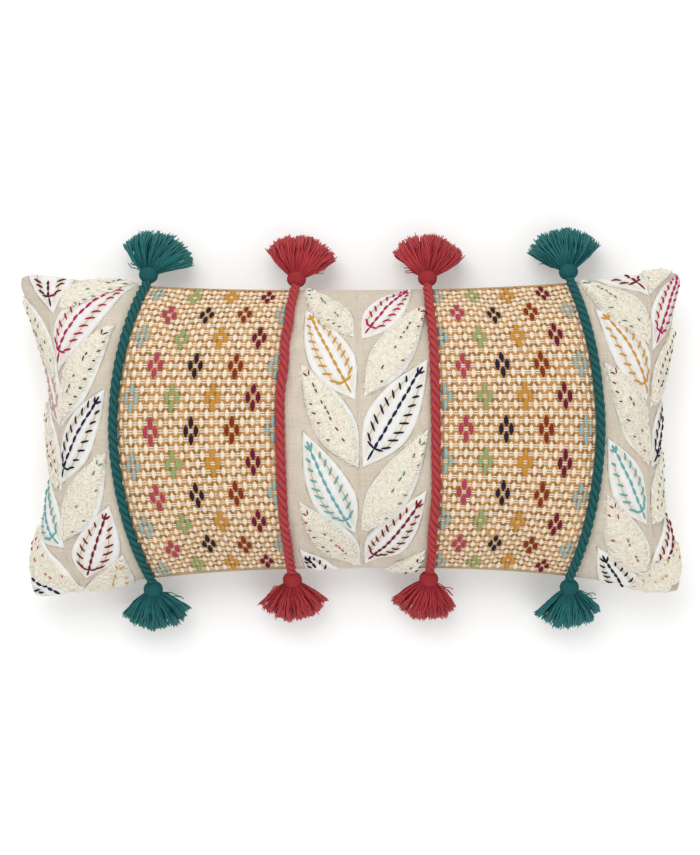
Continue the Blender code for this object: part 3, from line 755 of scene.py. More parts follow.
COLUMN_PITCH, ROW_PITCH = 0.0090, 0.00685
WEAVE_ROWS = 21
FIRST_COLUMN = {1: 0.0110, 3: 0.0040}  # by panel, from its left seam
WEAVE_LEFT_OUT, EDGE_LEFT_OUT = 0.001, 0.004  # no weave nearer than this to a seam, to the edge
LEG_RUN, LEG_RISE = 0.0013, 0.0022  # half a leg of the zigzag
RIB_GAP, RIB_END, TICK_HALF = 0.0010, 0.0014, 0.0012
SPINDLE_HALF, MOTIF_HALF = 0.0038, 0.0054
TAN = plain_yarn("tan_yarn", (196, 140, 76), 0.0005)
BROWN = plain_yarn("brown_yarn", (162, 112, 58), 0.0005)
CREAM = plain_yarn("cream_yarn", (240, 224, 200), 0.0005)
MOTIF_COLOURS = {
    "light_blue": (148, 182, 182),
    "light_green": (142, 170, 116),
    "gold": (200, 144, 58),
    "plum": (106, 26, 60),
    "pink": (176, 64, 98),
    "navy": (40, 35, 56),
    "rust": (130, 50, 30),
}
MOTIF_YARNS = {
    name: plain_yarn(f"{name}_yarn", colour, 0.0005) for name, colour in MOTIF_COLOURS.items()
}
MOTIFS = {0: ("light_blue", "light_green", "gold", "plum"), 1: ("pink", "navy", "rust", "light_blue")}


def weave_lattice(index):
    """(row, column, s, t) of every spindle; alternate rows are half a column over."""
    cells = []
    for row in range(-WEAVE_ROWS, WEAVE_ROWS + 1):
        start = FIRST_COLUMN[index] - (COLUMN_PITCH / 2.0 if row % 2 else 0.0)
        for column in range(-1, 18):
            s = start + column * COLUMN_PITCH
            if WEAVE_LEFT_OUT < s < PANEL_WIDTHS[index] - WEAVE_LEFT_OUT:
                cells.append((row, column, s, row * ROW_PITCH))
    return cells


def motif_of(row, column):
    """Yarn name of the motif that a spindle belongs to, or None. A motif is four spindles round a
    point: one below, two beside and one above; motifs are four rows and four columns apart."""
    for middle in (row - 1, row, row + 1):
        kind = (middle // 4 + 1) % 2
        place = column - 2 * kind - (middle != row)
        if middle % 4 == 0 and place % 4 in ((0, 1) if middle == row else (0,)):
            return MOTIFS[kind][(place // 4) % 4]
    return None


def make_weave(index):
    """Tan zigzags, cream spindles and ribs, and coloured motifs, all raised off the ground."""
    width = PANEL_WIDTHS[index]
    side = "left" if index == 1 else "right"
    jitter = default_rng(40 + index)
    kinds = {name: [] for name in ("spindles", *MOTIF_YARNS)}
    cells = weave_lattice(index)
    for row, column, s, t in cells:
        kinds[motif_of(row, column) or "spindles"].append((s, t))

    def around(*offsets):
        """Places at the same offsets (s, t) from every spindle, kept inside the seams."""
        spots = np.array([(s + ds, t + dt) for _, _, s, t in cells for ds, dt in offsets])
        return np.clip(spots, [0.0008, -np.inf], [width - 0.0008, np.inf])

    def upright(middles, half, wobble):
        slant = jitter.normal(0.0, wobble, (len(middles), 2))
        reach = np.array([0.0, half]) + slant
        return np.array(middles) - reach, np.array(middles) + reach

    def add(kind, lines, material, radius, depth, sides=6, steps=5, arch=0.0006, taper=0.5):
        def place(s, t, lift):
            return on_cloth(index, s, t, lift)

        lines = np.stack(lines, axis=1)
        points, faces = threads(place, lines, radius, sides, depth, steps, arch, 0.0002, 0.06, taper)
        make_object(f"{side}_weave_{kind}", points, faces, material, slot="woven_panel")

    run, rise = COLUMN_PITCH / 4.0, ROW_PITCH / 2.0
    low = around(*((way * (run + LEG_RUN), rise - LEG_RISE) for way in (-1, 1)))
    high = around(*((way * (run - LEG_RUN), rise + LEG_RISE) for way in (-1, 1)))
    inside = np.abs(low[:, 1]) < CLOTH_HALF_HEIGHT - EDGE_LEFT_OUT
    keep = inside & (np.abs(low[:, 0] - high[:, 0]) > 0.0004)
    offset = jitter.normal(0.0, 0.0002, (keep.sum(), 2))
    dark = jitter.uniform(0.0, 1.0, keep.sum()) < 0.38
    low, high = low[keep] + offset, high[keep] + offset
    add("tan_zigzag", (low[~dark], high[~dark]), TAN, 0.00122, 0.6)
    add("brown_zigzag", (low[dark], high[dark]), BROWN, 0.00118, 0.6)
    ribs = [around(*((s, way * RIB_GAP) for way in (-1, 1))) for s in (RIB_END, COLUMN_PITCH - RIB_END)]
    add("cream_ribs", ribs, CREAM, 0.00072, 0.8, 4, 4, 0.0003)
    ticks = [around((COLUMN_PITCH / 2.0 + way * TICK_HALF, 0.0)) for way in (-1, 1)]
    add("tan_ticks", ticks, TAN, 0.00045, 0.7, 4, 3, 0.0001)
    spindles = upright(kinds.pop("spindles"), SPINDLE_HALF, 0.00025)
    add("cream_spindles", spindles, CREAM, 0.00228, 0.42, 6, 7, taper=0.9)
    for name, middles in kinds.items():
        lines = upright(middles, MOTIF_HALF, 0.00035)
        add(f"motif_{name}", lines, MOTIF_YARNS[name], 0.0021, 0.5, 6, 9, 0.0009, taper=0.9)


# ---- Leaves ----

STITCH_COLOURS = {
    "plum": (98, 28, 56),
    "dusky": (196, 160, 150),
    "magenta": (176, 36, 84),
    "dark_red": (120, 32, 38),
    "red": (160, 40, 56),
    "navy": (34, 32, 62),
    "black": (36, 32, 40),
    "green": (92, 132, 98),
    "teal": (106, 166, 168),
    "gold": (204, 150, 58),
}
STITCH_YARNS = {name: plain_yarn(f"{name}_thread", colour) for name, colour in STITCH_COLOURS.items()}
TIE_THREAD = plain_yarn("tie_thread", (158, 144, 124))
# painted shadow: the grey-beige line round each leaf's outline stands for the shade at the padded
# leaf's edge
OUTLINE_SHADOW = plain_yarn("painted_outline_shadow", (178, 166, 146))


def make_jersey():
    """White jersey of the leaves; the tone layer is 1 in the creamier sewn channel."""
    nodes = Nodes("white_jersey", (240, 238, 235), 0.92, sheen=0.15)
    mottle = nodes.noise(nodes.place(), 140.0)
    base = nodes.blend(nodes.ramp(mottle, 0.25, 0.75), (228, 227, 223), (239, 239, 237))
    nodes.set("Base Color", nodes.blend(nodes.layer("tone"), base, (229, 222, 207)))
    cloth = nodes.scaled(nodes.layer("cloth", "Vector"), (1400.0, 700.0, 1.0))
    knit = nodes.noise(cloth, 1.0)
    nodes.bump_from(knit, 0.00035)
    nodes.rough_from(knit, 0.85, 1.0)
    return nodes.material


def make_looped():
    nodes = Nodes("looped_cotton", (234, 226, 208), 0.96, sheen=0.1)
    mottle = nodes.noise(nodes.place(), 420.0, 3.0)
    colour = nodes.blend(nodes.ramp(mottle, 0.3, 0.7), (224, 216, 198), (245, 239, 224))
    nodes.set("Base Color", colour)
    nodes.bump_from(mottle, 0.0012)
    nodes.rough_from(mottle, 0.88, 1.0)
    return nodes.material


JERSEY = make_jersey()
LOOPED = make_looped()
LOOPS = plain_yarn("loop_yarn", (246, 240, 225), 0.0004, 0.1)

# Each column of leaves: its panel, the side of the vein it grows to, the kind of its top leaf, and
# its leaves from the top, by turns white and looped. A leaf is its thread, the end at the vein and
# the far end as seen from above, and its width, all in millimetres.
LEAF_COLUMNS = {
    "left_outer": (0, -1, "white", (
        ("plum", -270, 105, -285, 209, 41),
        ("green", -267, 44, -310, 129, 34),
        ("dusky", -263, 3, -293, 92, 34),
        ("dark_red", -261, -56, -288, 35, 34),
        ("teal", -256, -107, -286, -33, 36),
        ("magenta", -243, -148, -297, -68, 38),
        ("navy", -236, -168, -312, -100, 48))),
    "left_inner": (0, 1, "looped", (
        ("green", -263, 108, -170, 151, 35),
        ("magenta", -267, 53, -198, 132, 36),
        ("black", -262, 3, -211, 95, 34),
        ("navy", -261, -49, -218, 38, 36),
        ("green", -257, -101, -218, -19, 36),
        ("dark_red", -240, -134, -215, -66, 38),
        ("gold", -243, -201, -205, -111, 40))),
    "centre_left": (2, -1, "looped", (
        ("green", 4, 83, -41, 128, 36),
        ("gold", 5, 26, -40, 108, 41),
        ("dark_red", 8, -33, -44, 59, 37),
        ("teal", 5, -94, -42, 0, 40),
        ("red", 10, -124, -46, -63, 37),
        ("black", 5, -192, -46, -106, 38))),
    "centre_right": (2, 1, "white", (
        ("magenta", 10, 81, 57, 130, 38),
        ("dark_red", 12, 29, 69, 112, 37),
        ("navy", 11, -33, 70, 64, 43),
        ("green", 10, -91, 70, 2, 37),
        ("dark_red", 13, -123, 69, -52, 39),
        ("black", 18, -192, 69, -107, 37))),
    "right_inner": (4, -1, "white", (
        ("dark_red", 272, 123, 202, 200, 37),
        ("green", 269, 78, 208, 137, 36),
        ("gold", 268, 26, 221, 109, 37),
        ("dark_red", 271, -32, 227, 62, 37),
        ("teal", 267, -86, 230, -6, 38),
        ("red", 269, -133, 230, -56, 38),
        ("black", 275, -188, 223, -104, 38))),
    "right_outer": (4, 1, "looped", (
        ("teal", 273, 124, 300, 226, 36),
        ("magenta", 272, 72, 308, 152, 36),
        ("black", 272, 20, 297, 97, 34),
        ("navy", 274, -34, 295, 37, 34),
        ("green", 273, -86, 295, -9, 34),
        ("dark_red", 271, -137, 295, -61, 34),
        ("gold", 252, -154, 305, -93, 44))),
}
JERSEY_THICK, JERSEY_EDGE = 0.0017, 0.0008
LEAF_CROWN, MIDRIB_RISE, LEAF_RIPPLE, LEAF_RIPPLE_SIZE = 0.0013, 0.0005, 0.00030, 0.009
# Sewn grooves each side of the midrib: share of the half width, spread and depth
LEAF_GROOVES = ((0.40, 0.06, 0.0008), (0.70, 0.05, 0.0006))
WIDEST = 0.40  # share of a leaf's length from the vein end
PATCH_END, PATCH_SIDE = 0.07, 0.84  # the looped patch stops short of the leaf's ends and sides
PATCH_SHIFT, PATCH_THICK = 0.0011, 0.0018
LOOP_COUNT, LOOP_RADIUS = 520, 0.00042
MIDRIB_PITCH, MIDRIB_STITCH, MIDRIB_RADIUS = 0.0079, 0.0074, 0.00132
SIDE_PITCH, SIDE_RUN, SIDE_RADIUS = 0.0085, 0.0052, 0.00103
# the edge radius is that of the painted shadow line round each leaf
TIE_RADIUS, OUTLINE_SHADOW_RADIUS, FEW_RADIUS = 0.00026, 0.00050, 0.00068
# Shares of the leaf's length that the stitches cover, and of its half width at the side stitches
MIDRIB_SPAN, SIDE_SPAN, SIDE_REACH = (0.17, 0.83), (0.205, 0.80), (0.37, 0.70)
END_STITCHES = ((0.075, 0.170), (0.845, 0.91))
# How far a leaf may pass the side and edge seams, and how far it stays from a panel seam
LOOPED_ROOM, WHITE_ROOM = (0.0022, 0.0042), (0.0005, 0.0025)


class Leaf:
    """A leaf laid on a panel. x runs from its end at the vein, y across it, to its upper side."""

    def __init__(self, column, number):
        panel, side, first, leaves = LEAF_COLUMNS[column]
        self.kind = "white" if (first == "white") == (number % 2 == 0) else "looped"
        self.thread, x, y, far_x, far_y, width = leaves[number]
        self.panel, self.side = panel, side
        self.seed = 100 * list(LEAF_COLUMNS).index(column) + number
        self.start = np.array(cloth_place(panel, x / 1000.0, y / 1000.0))
        reach = np.array(cloth_place(panel, far_x / 1000.0, far_y / 1000.0)) - self.start
        self.length = float(np.hypot(*reach))
        self.along = reach / self.length
        self.over = np.array([-self.along[1], self.along[0]])
        self.width = width / 1000.0
        self.bow = float(default_rng(self.seed).uniform(-0.0015, 0.0015))
        self.name = f"leaf_{column}_{number + 1}"
        spare, margin = LOOPED_ROOM if self.kind == "looped" else WHITE_ROOM
        size = PANEL_WIDTHS[panel]
        self.low = -spare if panel == 0 else margin
        self.high = size + spare if panel == 4 else size - margin
        self.limit = CLOTH_HALF_HEIGHT + spare

    def half_width(self, x):
        share = np.clip(x / self.length, 0.0, 1.0)
        before = np.sin(HALF_PI * np.minimum(share / WIDEST, 1.0)) ** 1.1
        after = np.cos(HALF_PI * np.maximum((share - WIDEST) / (1.0 - WIDEST), 0.0)) ** 1.05
        return self.width / 2.0 * before * after

    def loose(self, x, y):
        """Cloth coordinates of a point of the leaf, wherever they fall."""
        y = y + self.bow * np.sin(math.pi * np.clip(x / self.length, 0.0, 1.0))
        return (
            self.start[0] + x * self.along[0] + y * self.over[0],
            self.start[1] + x * self.along[1] + y * self.over[1],
        )

    def rise(self, x, y):
        """Height of the jersey leaf above the cover."""
        half = self.half_width(x)
        q = np.abs(y) / np.maximum(half, 1e-6)
        share = np.clip(x / self.length, 0.0, 1.0)
        edge = np.minimum(half - np.abs(y), np.minimum(x, self.length - x) * 0.5)
        height = JERSEY_THICK * (1.0 - np.exp(-np.maximum(edge, 0.0) / JERSEY_EDGE))
        height = height + LEAF_CROWN * np.sin(math.pi * share) * np.clip(1.0 - q * q, 0.0, 1.0)
        if self.kind == "white":
            ends = smooth_step(share, 0.05, 0.15) * (1.0 - smooth_step(share, 0.84, 0.95))
            for place, spread, depth in LEAF_GROOVES:
                height = height - depth * bell((q - place) / spread) * ends
            height = height + MIDRIB_RISE * (1.0 - smooth_step(q, 0.24, 0.38)) * ends
        return height + LEAF_RIPPLE * ripple(x, y, LEAF_RIPPLE_SIZE, self.seed)

    def put(self, x, y, lift=0.0):
        """Point on the leaf, kept inside the seams of its panel, where its height dies away."""
        s, t = self.loose(x, y)
        s, t = np.clip(s, self.low, self.high), np.clip(t, -self.limit, self.limit)
        inside = np.minimum(np.minimum(s - self.low, self.high - s), self.limit - np.abs(t))
        lift = (self.rise(x, y) + lift) * smooth_step(inside, -0.0002, 0.0020)
        return on_cloth(self.panel, s, t, lift)

    def shown(self, x, y):
        """Whether a point of the leaf falls inside its panel's seams."""
        s, t = self.loose(x, y)
        return (s > self.low + 0.001) & (s < self.high - 0.001) & (np.abs(t) < self.limit - 0.001)

    def stitches(self, lines, radius, arch=0.0007, sink=0.0002, steps=5, sides=6, taper=0.5):
        """Threads along the lines that fall inside the panel's seams, or None."""
        lines = np.array(lines)
        lines = lines[self.shown(*lines[:, 0].T) & self.shown(*lines[:, 1].T)]
        if not len(lines):
            return None
        return threads(self.put, lines, radius, sides, 0.75, steps, arch, sink, 0.08, taper)


def leaf_cloth(leaf):
    columns, rows = 33, 71
    share = 0.5 - 0.5 * np.cos(math.pi * np.linspace(0.0, 1.0, rows))
    p, q = np.meshgrid(share, eased_row(columns), indexing="ij")
    x = p * leaf.length
    y = q * leaf.half_width(x)
    points, _ = leaf.put(x, y)
    ends = smooth_step(p, 0.05, 0.13) * (1.0 - smooth_step(p, 0.86, 0.94))
    channel = smooth_step(np.abs(q), 0.33, 0.40) * (1.0 - smooth_step(np.abs(q), 0.68, 0.74)) * ends
    tone = channel if leaf.kind == "white" else np.zeros_like(channel)
    layers = {"tone": tone.ravel(), "cloth": np.stack([x, y, 0.0 * x], axis=-1).reshape(-1, 3)}
    return make_object(
        f"{leaf.name}_jersey", points, grid_faces(rows, columns), JERSEY,
        slot="white_cotton", layers=layers,
    )


def white_stitches(leaf):
    """Bold running stitch down the midrib, slanted stitches each side of it and a fork at each end,
    joined by a thin thread."""
    source = default_rng(leaf.seed + 7)
    length = leaf.length
    running = []
    for x in np.arange(MIDRIB_SPAN[0] * length, MIDRIB_SPAN[1] * length, MIDRIB_PITCH):
        sway = source.normal(0.0, 0.0002, 2)
        running.append([(x, sway[0]), (x + MIDRIB_STITCH, sway[1])])
    midrib = leaf.stitches(running, MIDRIB_RADIUS, 0.0006, 0.0, 7, 8, 0.7)
    slanted, ties = [], []
    for side in (-1, 1):
        middles = []
        for x in np.arange(SIDE_SPAN[0] * length, SIDE_SPAN[1] * length, SIDE_PITCH):
            x = x + source.normal(0.0, 0.0004)
            inner = side * SIDE_REACH[0] * float(leaf.half_width(x))
            reach = SIDE_REACH[1] * float(leaf.half_width(x + 0.005))
            outer = side * (reach + source.normal(0.0, 0.0003))
            slanted.append([(x, inner), (x + SIDE_RUN + source.normal(0.0, 0.0004), outer)])
            middles.append((x + SIDE_RUN / 2.0, (inner + outer) / 2.0))
        ties += zip(middles[:-1], middles[1:])
        fork = side * 0.58 * float(leaf.half_width(0.19 * length))
        slanted.append([(0.175 * length, 0.0), (0.175 * length + 0.0024, fork)])
        slanted.append([(0.835 * length, 0.0), (0.885 * length, side * 0.0034)])
    slanted += [[(low * length, 0.0), (high * length, 0.0)] for low, high in END_STITCHES]
    sides = leaf.stitches(slanted, SIDE_RADIUS, 0.0006, 0.0001)
    return [midrib, sides], leaf.stitches(ties, TIE_RADIUS, 0.0002, 0.0)


def outline_shadow_line(leaf):
    """Painted shadow line: a thin grey-beige tube along both sides of the leaf's outline, standing for
    the shade at the padded leaf's edge.
    """
    x = leaf.length * np.linspace(0.004, 0.996, 70)[None, :] * np.ones((2, 1))
    y = (leaf.half_width(x) + 0.0002) * np.array([[-1.0], [1.0]])
    points, normals = leaf.put(x, y, -0.0001)
    across = np.cross(np.gradient(points, axis=1), normals)
    return tubes(points, np.where(leaf.shown(x, y), OUTLINE_SHADOW_RADIUS, 0.00002), across, 4, 0.7)


def looped_patch(leaf):
    """Thick looped cotton sewn over the jersey."""
    rows, columns = 71, 35
    shares = np.linspace(PATCH_END, 1.0 - PATCH_END, rows)
    p, q = np.meshgrid(shares, np.linspace(-PATCH_SIDE, PATCH_SIDE, columns), indexing="ij")
    x = p * leaf.length
    ragged = 1.0 + 0.05 * ripple(x, 0.0 * x, 0.006, leaf.seed + 9)
    y = q * leaf.half_width(x) * ragged + PATCH_SHIFT
    rim = np.minimum(1.0 - np.abs(q) / PATCH_SIDE, np.minimum(p - PATCH_END, 1.0 - PATCH_END - p) * 4.0)
    thick = PATCH_THICK * (1.0 - np.exp(-np.maximum(rim, 0.0) / 0.07))
    bumps = 0.0005 * ripple(x, y, 0.0045, leaf.seed + 1, 22)
    bumps = bumps + 0.0004 * ripple(x, y, 0.0022, leaf.seed + 2, 22)
    points, _ = leaf.put(x, y, thick + bumps * np.clip(rim * 5.0, 0.0, 1.0) - 0.0001)
    return points, grid_faces(rows, columns)


def patch_loops(leaf):
    """Loops of yarn all over the patch and round its ragged edge."""
    source = default_rng(leaf.seed + 11)
    x = source.uniform(0.06, 0.94, LOOP_COUNT) * leaf.length
    side = np.sign(source.uniform(-1.0, 1.0, LOOP_COUNT))
    q = side * source.uniform(0.02, 1.0, LOOP_COUNT) ** 0.7 * 0.86
    slope = side * np.radians(source.normal(68.0, 24.0, LOOP_COUNT))
    reach = source.uniform(0.0014, 0.0030, LOOP_COUNT)[:, None]
    turn = np.stack([np.cos(slope), np.sin(slope)], axis=-1) * reach
    middle = np.stack([x, q * leaf.half_width(x) + PATCH_SHIFT], axis=-1)
    lines = np.stack([middle - turn, middle + turn], axis=1)
    inside = leaf.shown(*lines[:, 0].T) & leaf.shown(*lines[:, 1].T)
    lines, reach = lines[inside], reach[inside]
    bend = source.uniform(-0.4, 0.4, reach.shape) * reach
    arch = source.uniform(0.02, 0.34, reach.shape) * reach
    steps = 6
    sway = bend * np.sin(math.pi * np.linspace(0.0, 1.0, steps))

    def place(x, y, lift):
        inward = 1.05 - np.abs(y) / np.maximum(leaf.half_width(x), 1e-6)
        return leaf.put(x + sway, y, 0.0017 * np.clip(inward, 0.0, 0.18) / 0.18 + lift)

    return threads(place, lines, LOOP_RADIUS, 4, 1.0, steps, arch, 0.0, 0.1, 0.4)


def looped_stitches(leaf):
    """A few coloured stitches that show between the loops, along the midrib and one edge."""
    source = default_rng(leaf.seed + 5)
    way = leaf.side if (leaf.panel, leaf.side) in ((0, -1), (4, 1)) else -leaf.side
    lines = []
    for x in np.arange(0.25, 0.80, 0.05) * leaf.length:
        if source.uniform() < 0.5:
            sway = source.normal(0.0, 0.0004, 2)
            lines.append([(x, sway[0]), (x + source.uniform(0.0025, 0.0045), sway[1])])
    for x in np.arange(0.16, 0.84, 0.08) * leaf.length:
        if source.uniform() < 0.6:
            edge = way * float(leaf.half_width(x))
            lines.append([(x, 0.56 * edge), (x + source.uniform(0.0015, 0.0030), 0.72 * edge)])
    for side in (-1, 1):
        lines.append([(0.86 * leaf.length, side * 0.0006), (0.90 * leaf.length, side * 0.0030)])
    return [leaf.stitches(lines, FEW_RADIUS, 0.0006, -0.0022)]


def make_leaf(column, number):
    """All the pieces of one leaf: its jersey and the kind it is in the CAD, or None if none shows."""
    leaf = Leaf(column, number)
    spots = np.meshgrid(np.linspace(0.05, 0.95, 12) * leaf.length, np.linspace(-0.01, 0.01, 5))
    if not leaf.shown(*spots).any():
        return None

    def add(kind, shape, material, slot="white_cotton"):
        if shape and len(shape[1]):
            make_object(f"{leaf.name}_{kind}", *shape, material, slot=slot)

    jersey = leaf_cloth(leaf)
    # painted shadow line round the leaf's outline
    add("edge", outline_shadow_line(leaf), OUTLINE_SHADOW)
    if leaf.kind == "white":
        shapes, ties = white_stitches(leaf)
        add("ties", ties, TIE_THREAD)
    else:
        add("patch", looped_patch(leaf), LOOPED, "looped_cotton")
        add("loops", patch_loops(leaf), LOOPS, "looped_cotton")
        shapes = looped_stitches(leaf)
    shapes = [shape for shape in shapes if shape]
    add("stitches", merged(shapes) if shapes else None, STITCH_YARNS[leaf.thread])
    return jersey, "white" if leaf.kind == "white" else "textured"


CAD_LEAVES = {
    "left_inner": ("left", 0),
    "centre_left": ("centre_left", 0),
    "centre_right": ("centre_right", 0),
    "right_inner": ("right", 1),
}


def make_leaves():
    for column, (*_, leaves) in LEAF_COLUMNS.items():
        for number in range(len(leaves)):
            made = make_leaf(column, number)
            if made and column in CAD_LEAVES:
                name, skipped = CAD_LEAVES[column]
                node = f"leaf_{name}_{number + 1 - skipped}_{made[1]}"
                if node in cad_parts:
                    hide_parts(node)


# ---- Cords ----

ROPE_YARNS = {
    "teal": yarn("teal_cord", (36, 90, 90), (16, 58, 62), (46, 104, 104), twist=0.0003),
    "coral": yarn("coral_cord", (180, 68, 72), (134, 42, 48), (196, 78, 82), twist=0.0003),
}
TASSEL_YARNS = {
    "teal": yarn("teal_tassel", (30, 86, 86), (8, 48, 52), (48, 118, 120), (76, 142, 138), 0.0002),
    "coral": yarn("coral_tassel", (160, 50, 54), (110, 24, 30), (194, 68, 74), (202, 94, 96), 0.0002),
}
PLY_RADIUS, PLY_OFFSET, LAY = 0.00220, 0.00226, 0.0250
PLY_SIDES, PLY_STRANDS, STRAND_PITCH = 14, 9.0, 0.0040
# PLY_DARK and PLY_LIGHT set painted shade: a ply is painted darker deep in the grooves near the middle
# of the cord
PLY_DARK, PLY_LIGHT = 0.0022, 0.0042  # from the middle of the cord, where a ply is darkest and lightest
ROPE_STEP, ROPE_LIFT, ROPE_SMOOTHING = 0.0011, 0.0040, 30
ROPE_HOLD = 0.010  # length of cord each side of the loop that makes a piece of its own
END_NAMES = {1: "top", -1: "bottom"}


def tassel_frame(seam, end):
    """Place of the loop that a tassel swings on, and its directions: along, across and up."""
    u = seam_share(seam, float(end))
    x, y = plan(u, float(end))
    turn = math.radians(TASSEL_TURNS[(seam, end)] + (180.0 if end < 0 else 0.0))
    place = np.array([x, y + end * TASSEL_STAND_OFF, SEAM_HEIGHT + TASSEL_LIFT])
    along = np.array([-math.sin(turn), math.cos(turn), 0.0])
    across = np.array([math.cos(turn), math.sin(turn), 0.0])
    return place, along, across, np.array([0.0, 0.0, 1.0])


def rope_path(seam):
    """Evenly spaced points and normals of a cord, from inside one tassel head to inside the other."""
    v = 0.975 * eased_row(161)
    points, normals = FRONT.at(seam_share(seam, v), v, ROPE_LIFT)
    ends = []
    for end in (-1, 1):
        place, along, _, up = tassel_frame(seam, end)
        pair = np.stack([place + along * 0.0010 + up * 0.0012, place + along * HEAD_CENTRE])
        ends.append(pair[::end])
    points = np.concatenate([ends[0], points, ends[1]])
    normals = np.concatenate([normals[:1], normals[:1], normals, normals[-1:], normals[-1:]])
    length = np.concatenate([[0.0], np.cumsum(np.linalg.norm(np.diff(points, axis=0), axis=1))])
    count = round(length[-1] / ROPE_STEP) + 1
    even = np.linspace(0.0, length[-1], count)
    points, normals = (
        np.stack([np.interp(even, length, line[:, axis]) for axis in range(3)], axis=-1)
        for line in (points, normals)
    )
    for _ in range(ROPE_SMOOTHING):
        for line in (points, normals):
            line[1:-1] = (line[:-2] + 2.0 * line[1:-1] + line[2:]) / 4.0
    return points, unit(normals), even


def make_rope(seam):
    """Three plies laid round the path. The stretch near each loop is a piece of its own."""
    points, normals, even = rope_path(seam)
    along = unit(np.gradient(points, axis=0))
    across = unit(np.cross(along, normals))
    up = np.cross(across, along)
    shapes = []
    for ply in range(3):
        angle = TURN * (even / LAY + ply / 3.0)
        around = np.cos(angle)[:, None] * across + np.sin(angle)[:, None] * up
        path = points + PLY_OFFSET * around
        tube = tubes(path[None], PLY_RADIUS, around[None], PLY_SIDES)[0][0]
        twist = np.linspace(0.0, PLY_STRANDS, PLY_SIDES + 1)[None, :] + (even / STRAND_PITCH)[:, None]
        from_middle = np.linalg.norm(tube - points[:, None, :], axis=-1)
        # painted shade: each ply is darker nearer the middle of the cord, in the grooves between the
        # plies
        shapes.append((tube, twist, smooth_step(from_middle, PLY_DARK, PLY_LIGHT)))
    colour = "teal" if "outer" in seam else "coral"
    pivots = {end: tassel_frame(seam, end)[0] for end in (-1, 1)}
    middle_of = {end: int(np.argmin(np.linalg.norm(points - pivots[end], axis=1))) for end in (-1, 1)}
    reach = round(ROPE_HOLD / ROPE_STEP)
    cuts = {
        f"cord_{seam}_bottom_end": (0, middle_of[-1] + reach, -1),
        f"cord_{seam}_middle": (middle_of[-1] + reach - 1, middle_of[1] - reach + 1, 0),
        f"cord_{seam}_top_end": (middle_of[1] - reach, len(points), 1),
    }
    for name, (first, last, end) in cuts.items():
        faces = grid_faces(last - first, PLY_SIDES + 1, True)
        parts = [
            (tube[first:last], faces, twist[first:last], shade[first:last])
            for tube, twist, shade in shapes
        ]
        run, quads, twist, shade = merged(parts)
        body = None if end else "cover"
        layers = {"twist": twist, "shade": shade}
        piece = make_object(name, run, quads, ROPE_YARNS[colour], body, f"{colour}_yarn", layers)
        if end:
            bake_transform(piece)
        else:
            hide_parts(f"cord_{seam}")


# ---- Tassels ----

STRANDS = 460
STRAND_POINTS = 13
STRAND_RADIUS = 0.00062
SKIRT_OUT = {1: 0.0412, -1: 0.0385}  # from the middle of the head to the tips, by end
SKIRT_DROP = 0.0380
FAN = math.radians(52.0)
FAN_LEANS = {("left_outer", 1): 0.14}  # radians that a skirt is combed to one side
NECK_RADIUS, WINDING_PITCH = 0.0046, 0.00085
STRAY_COUNT, STRAY_RADIUS = 3, 0.00045


def head_mesh(source):
    """Ball wound with fine yarn, with its tie at the neck."""
    rings, sides = 110, 48
    share = np.linspace(0.0, 1.0, rings)[:, None]
    around = np.linspace(0.0, TURN, sides + 1)[None, :]
    polar = math.pi * (0.035 + 0.93 * share)
    along = HEAD_CENTRE - HEAD_HALF_DEPTH * np.cos(polar)
    radius = mix(HEAD_RADIUS * np.sin(polar) ** 0.8, NECK_RADIUS, smooth_step(share, 0.90, 1.0))
    turns = along / WINDING_PITCH + around / TURN
    groove = 0.00013 * np.sin(TURN * turns)
    lumps = 0.00018 * np.sin(3.0 * around + source.uniform(0, 6))
    radius = radius + (groove + lumps) * np.sin(polar)
    parts = [radius * np.cos(around), along + 0.0 * around, 0.96 * radius * np.sin(around)]
    return np.stack(parts, axis=-1), grid_faces(rings, sides + 1), turns


def strand_paths(source, floor, reach, fan_lean):
    """Strands of the skirt in the tassel's own directions: across, along and up. They leave all round
    the top of the head, bunch and spread to a round edge, and droop to the table."""
    turn = np.sort(np.clip(source.uniform(-1.0, 1.0, STRANDS) * 1.03, -1.0, 1.0))
    layer = source.uniform(-1.0, 1.0, STRANDS)
    angle = turn * FAN
    clump = 0.045 * np.sin(turn * 21.0 + source.uniform(0.0, 6.0)) + 0.03 * np.sin(turn * 43.0)
    share = np.linspace(0.0, 1.0, STRAND_POINTS)[None, :]
    size = 1.0 - 0.05 * turn**4 + source.normal(0.0, 0.030, STRANDS) + 0.02 * np.sin(turn * 9.0)
    radius = mix(0.0062, reach * size[:, None], share)
    swing = angle[:, None] * (1.42 - 0.42 * share**0.6) + fan_lean * share**0.8
    swing = swing + (clump + source.normal(0.0, 0.035, STRANDS))[:, None] * share
    phase = source.uniform(0.0, TURN, (4, STRANDS, 1))
    sway = 0.0013 * share * np.sin(5.0 * share + phase[0])
    sway = sway + 0.00050 * share * np.sin(17.0 * share + phase[1])
    across = radius * np.sin(swing) + sway
    along = HEAD_CENTRE + radius * np.cos(swing)
    droop = SKIRT_DROP * (0.78 + 0.22 * np.cos(swing)) * mix(1.0, 0.74, (layer[:, None] + 1.0) / 2.0)
    up = 0.0042 * layer[:, None] * (1.0 + 0.6 * share) - droop * share**1.8
    up = up + 0.0010 * share * np.sin(6.0 * share + phase[2])
    up = np.maximum(up, floor + STRAND_RADIUS * 1.1 + 0.0024 * (layer[:, None] + 1.0))
    return np.stack([across, along, up], axis=-1), share, layer


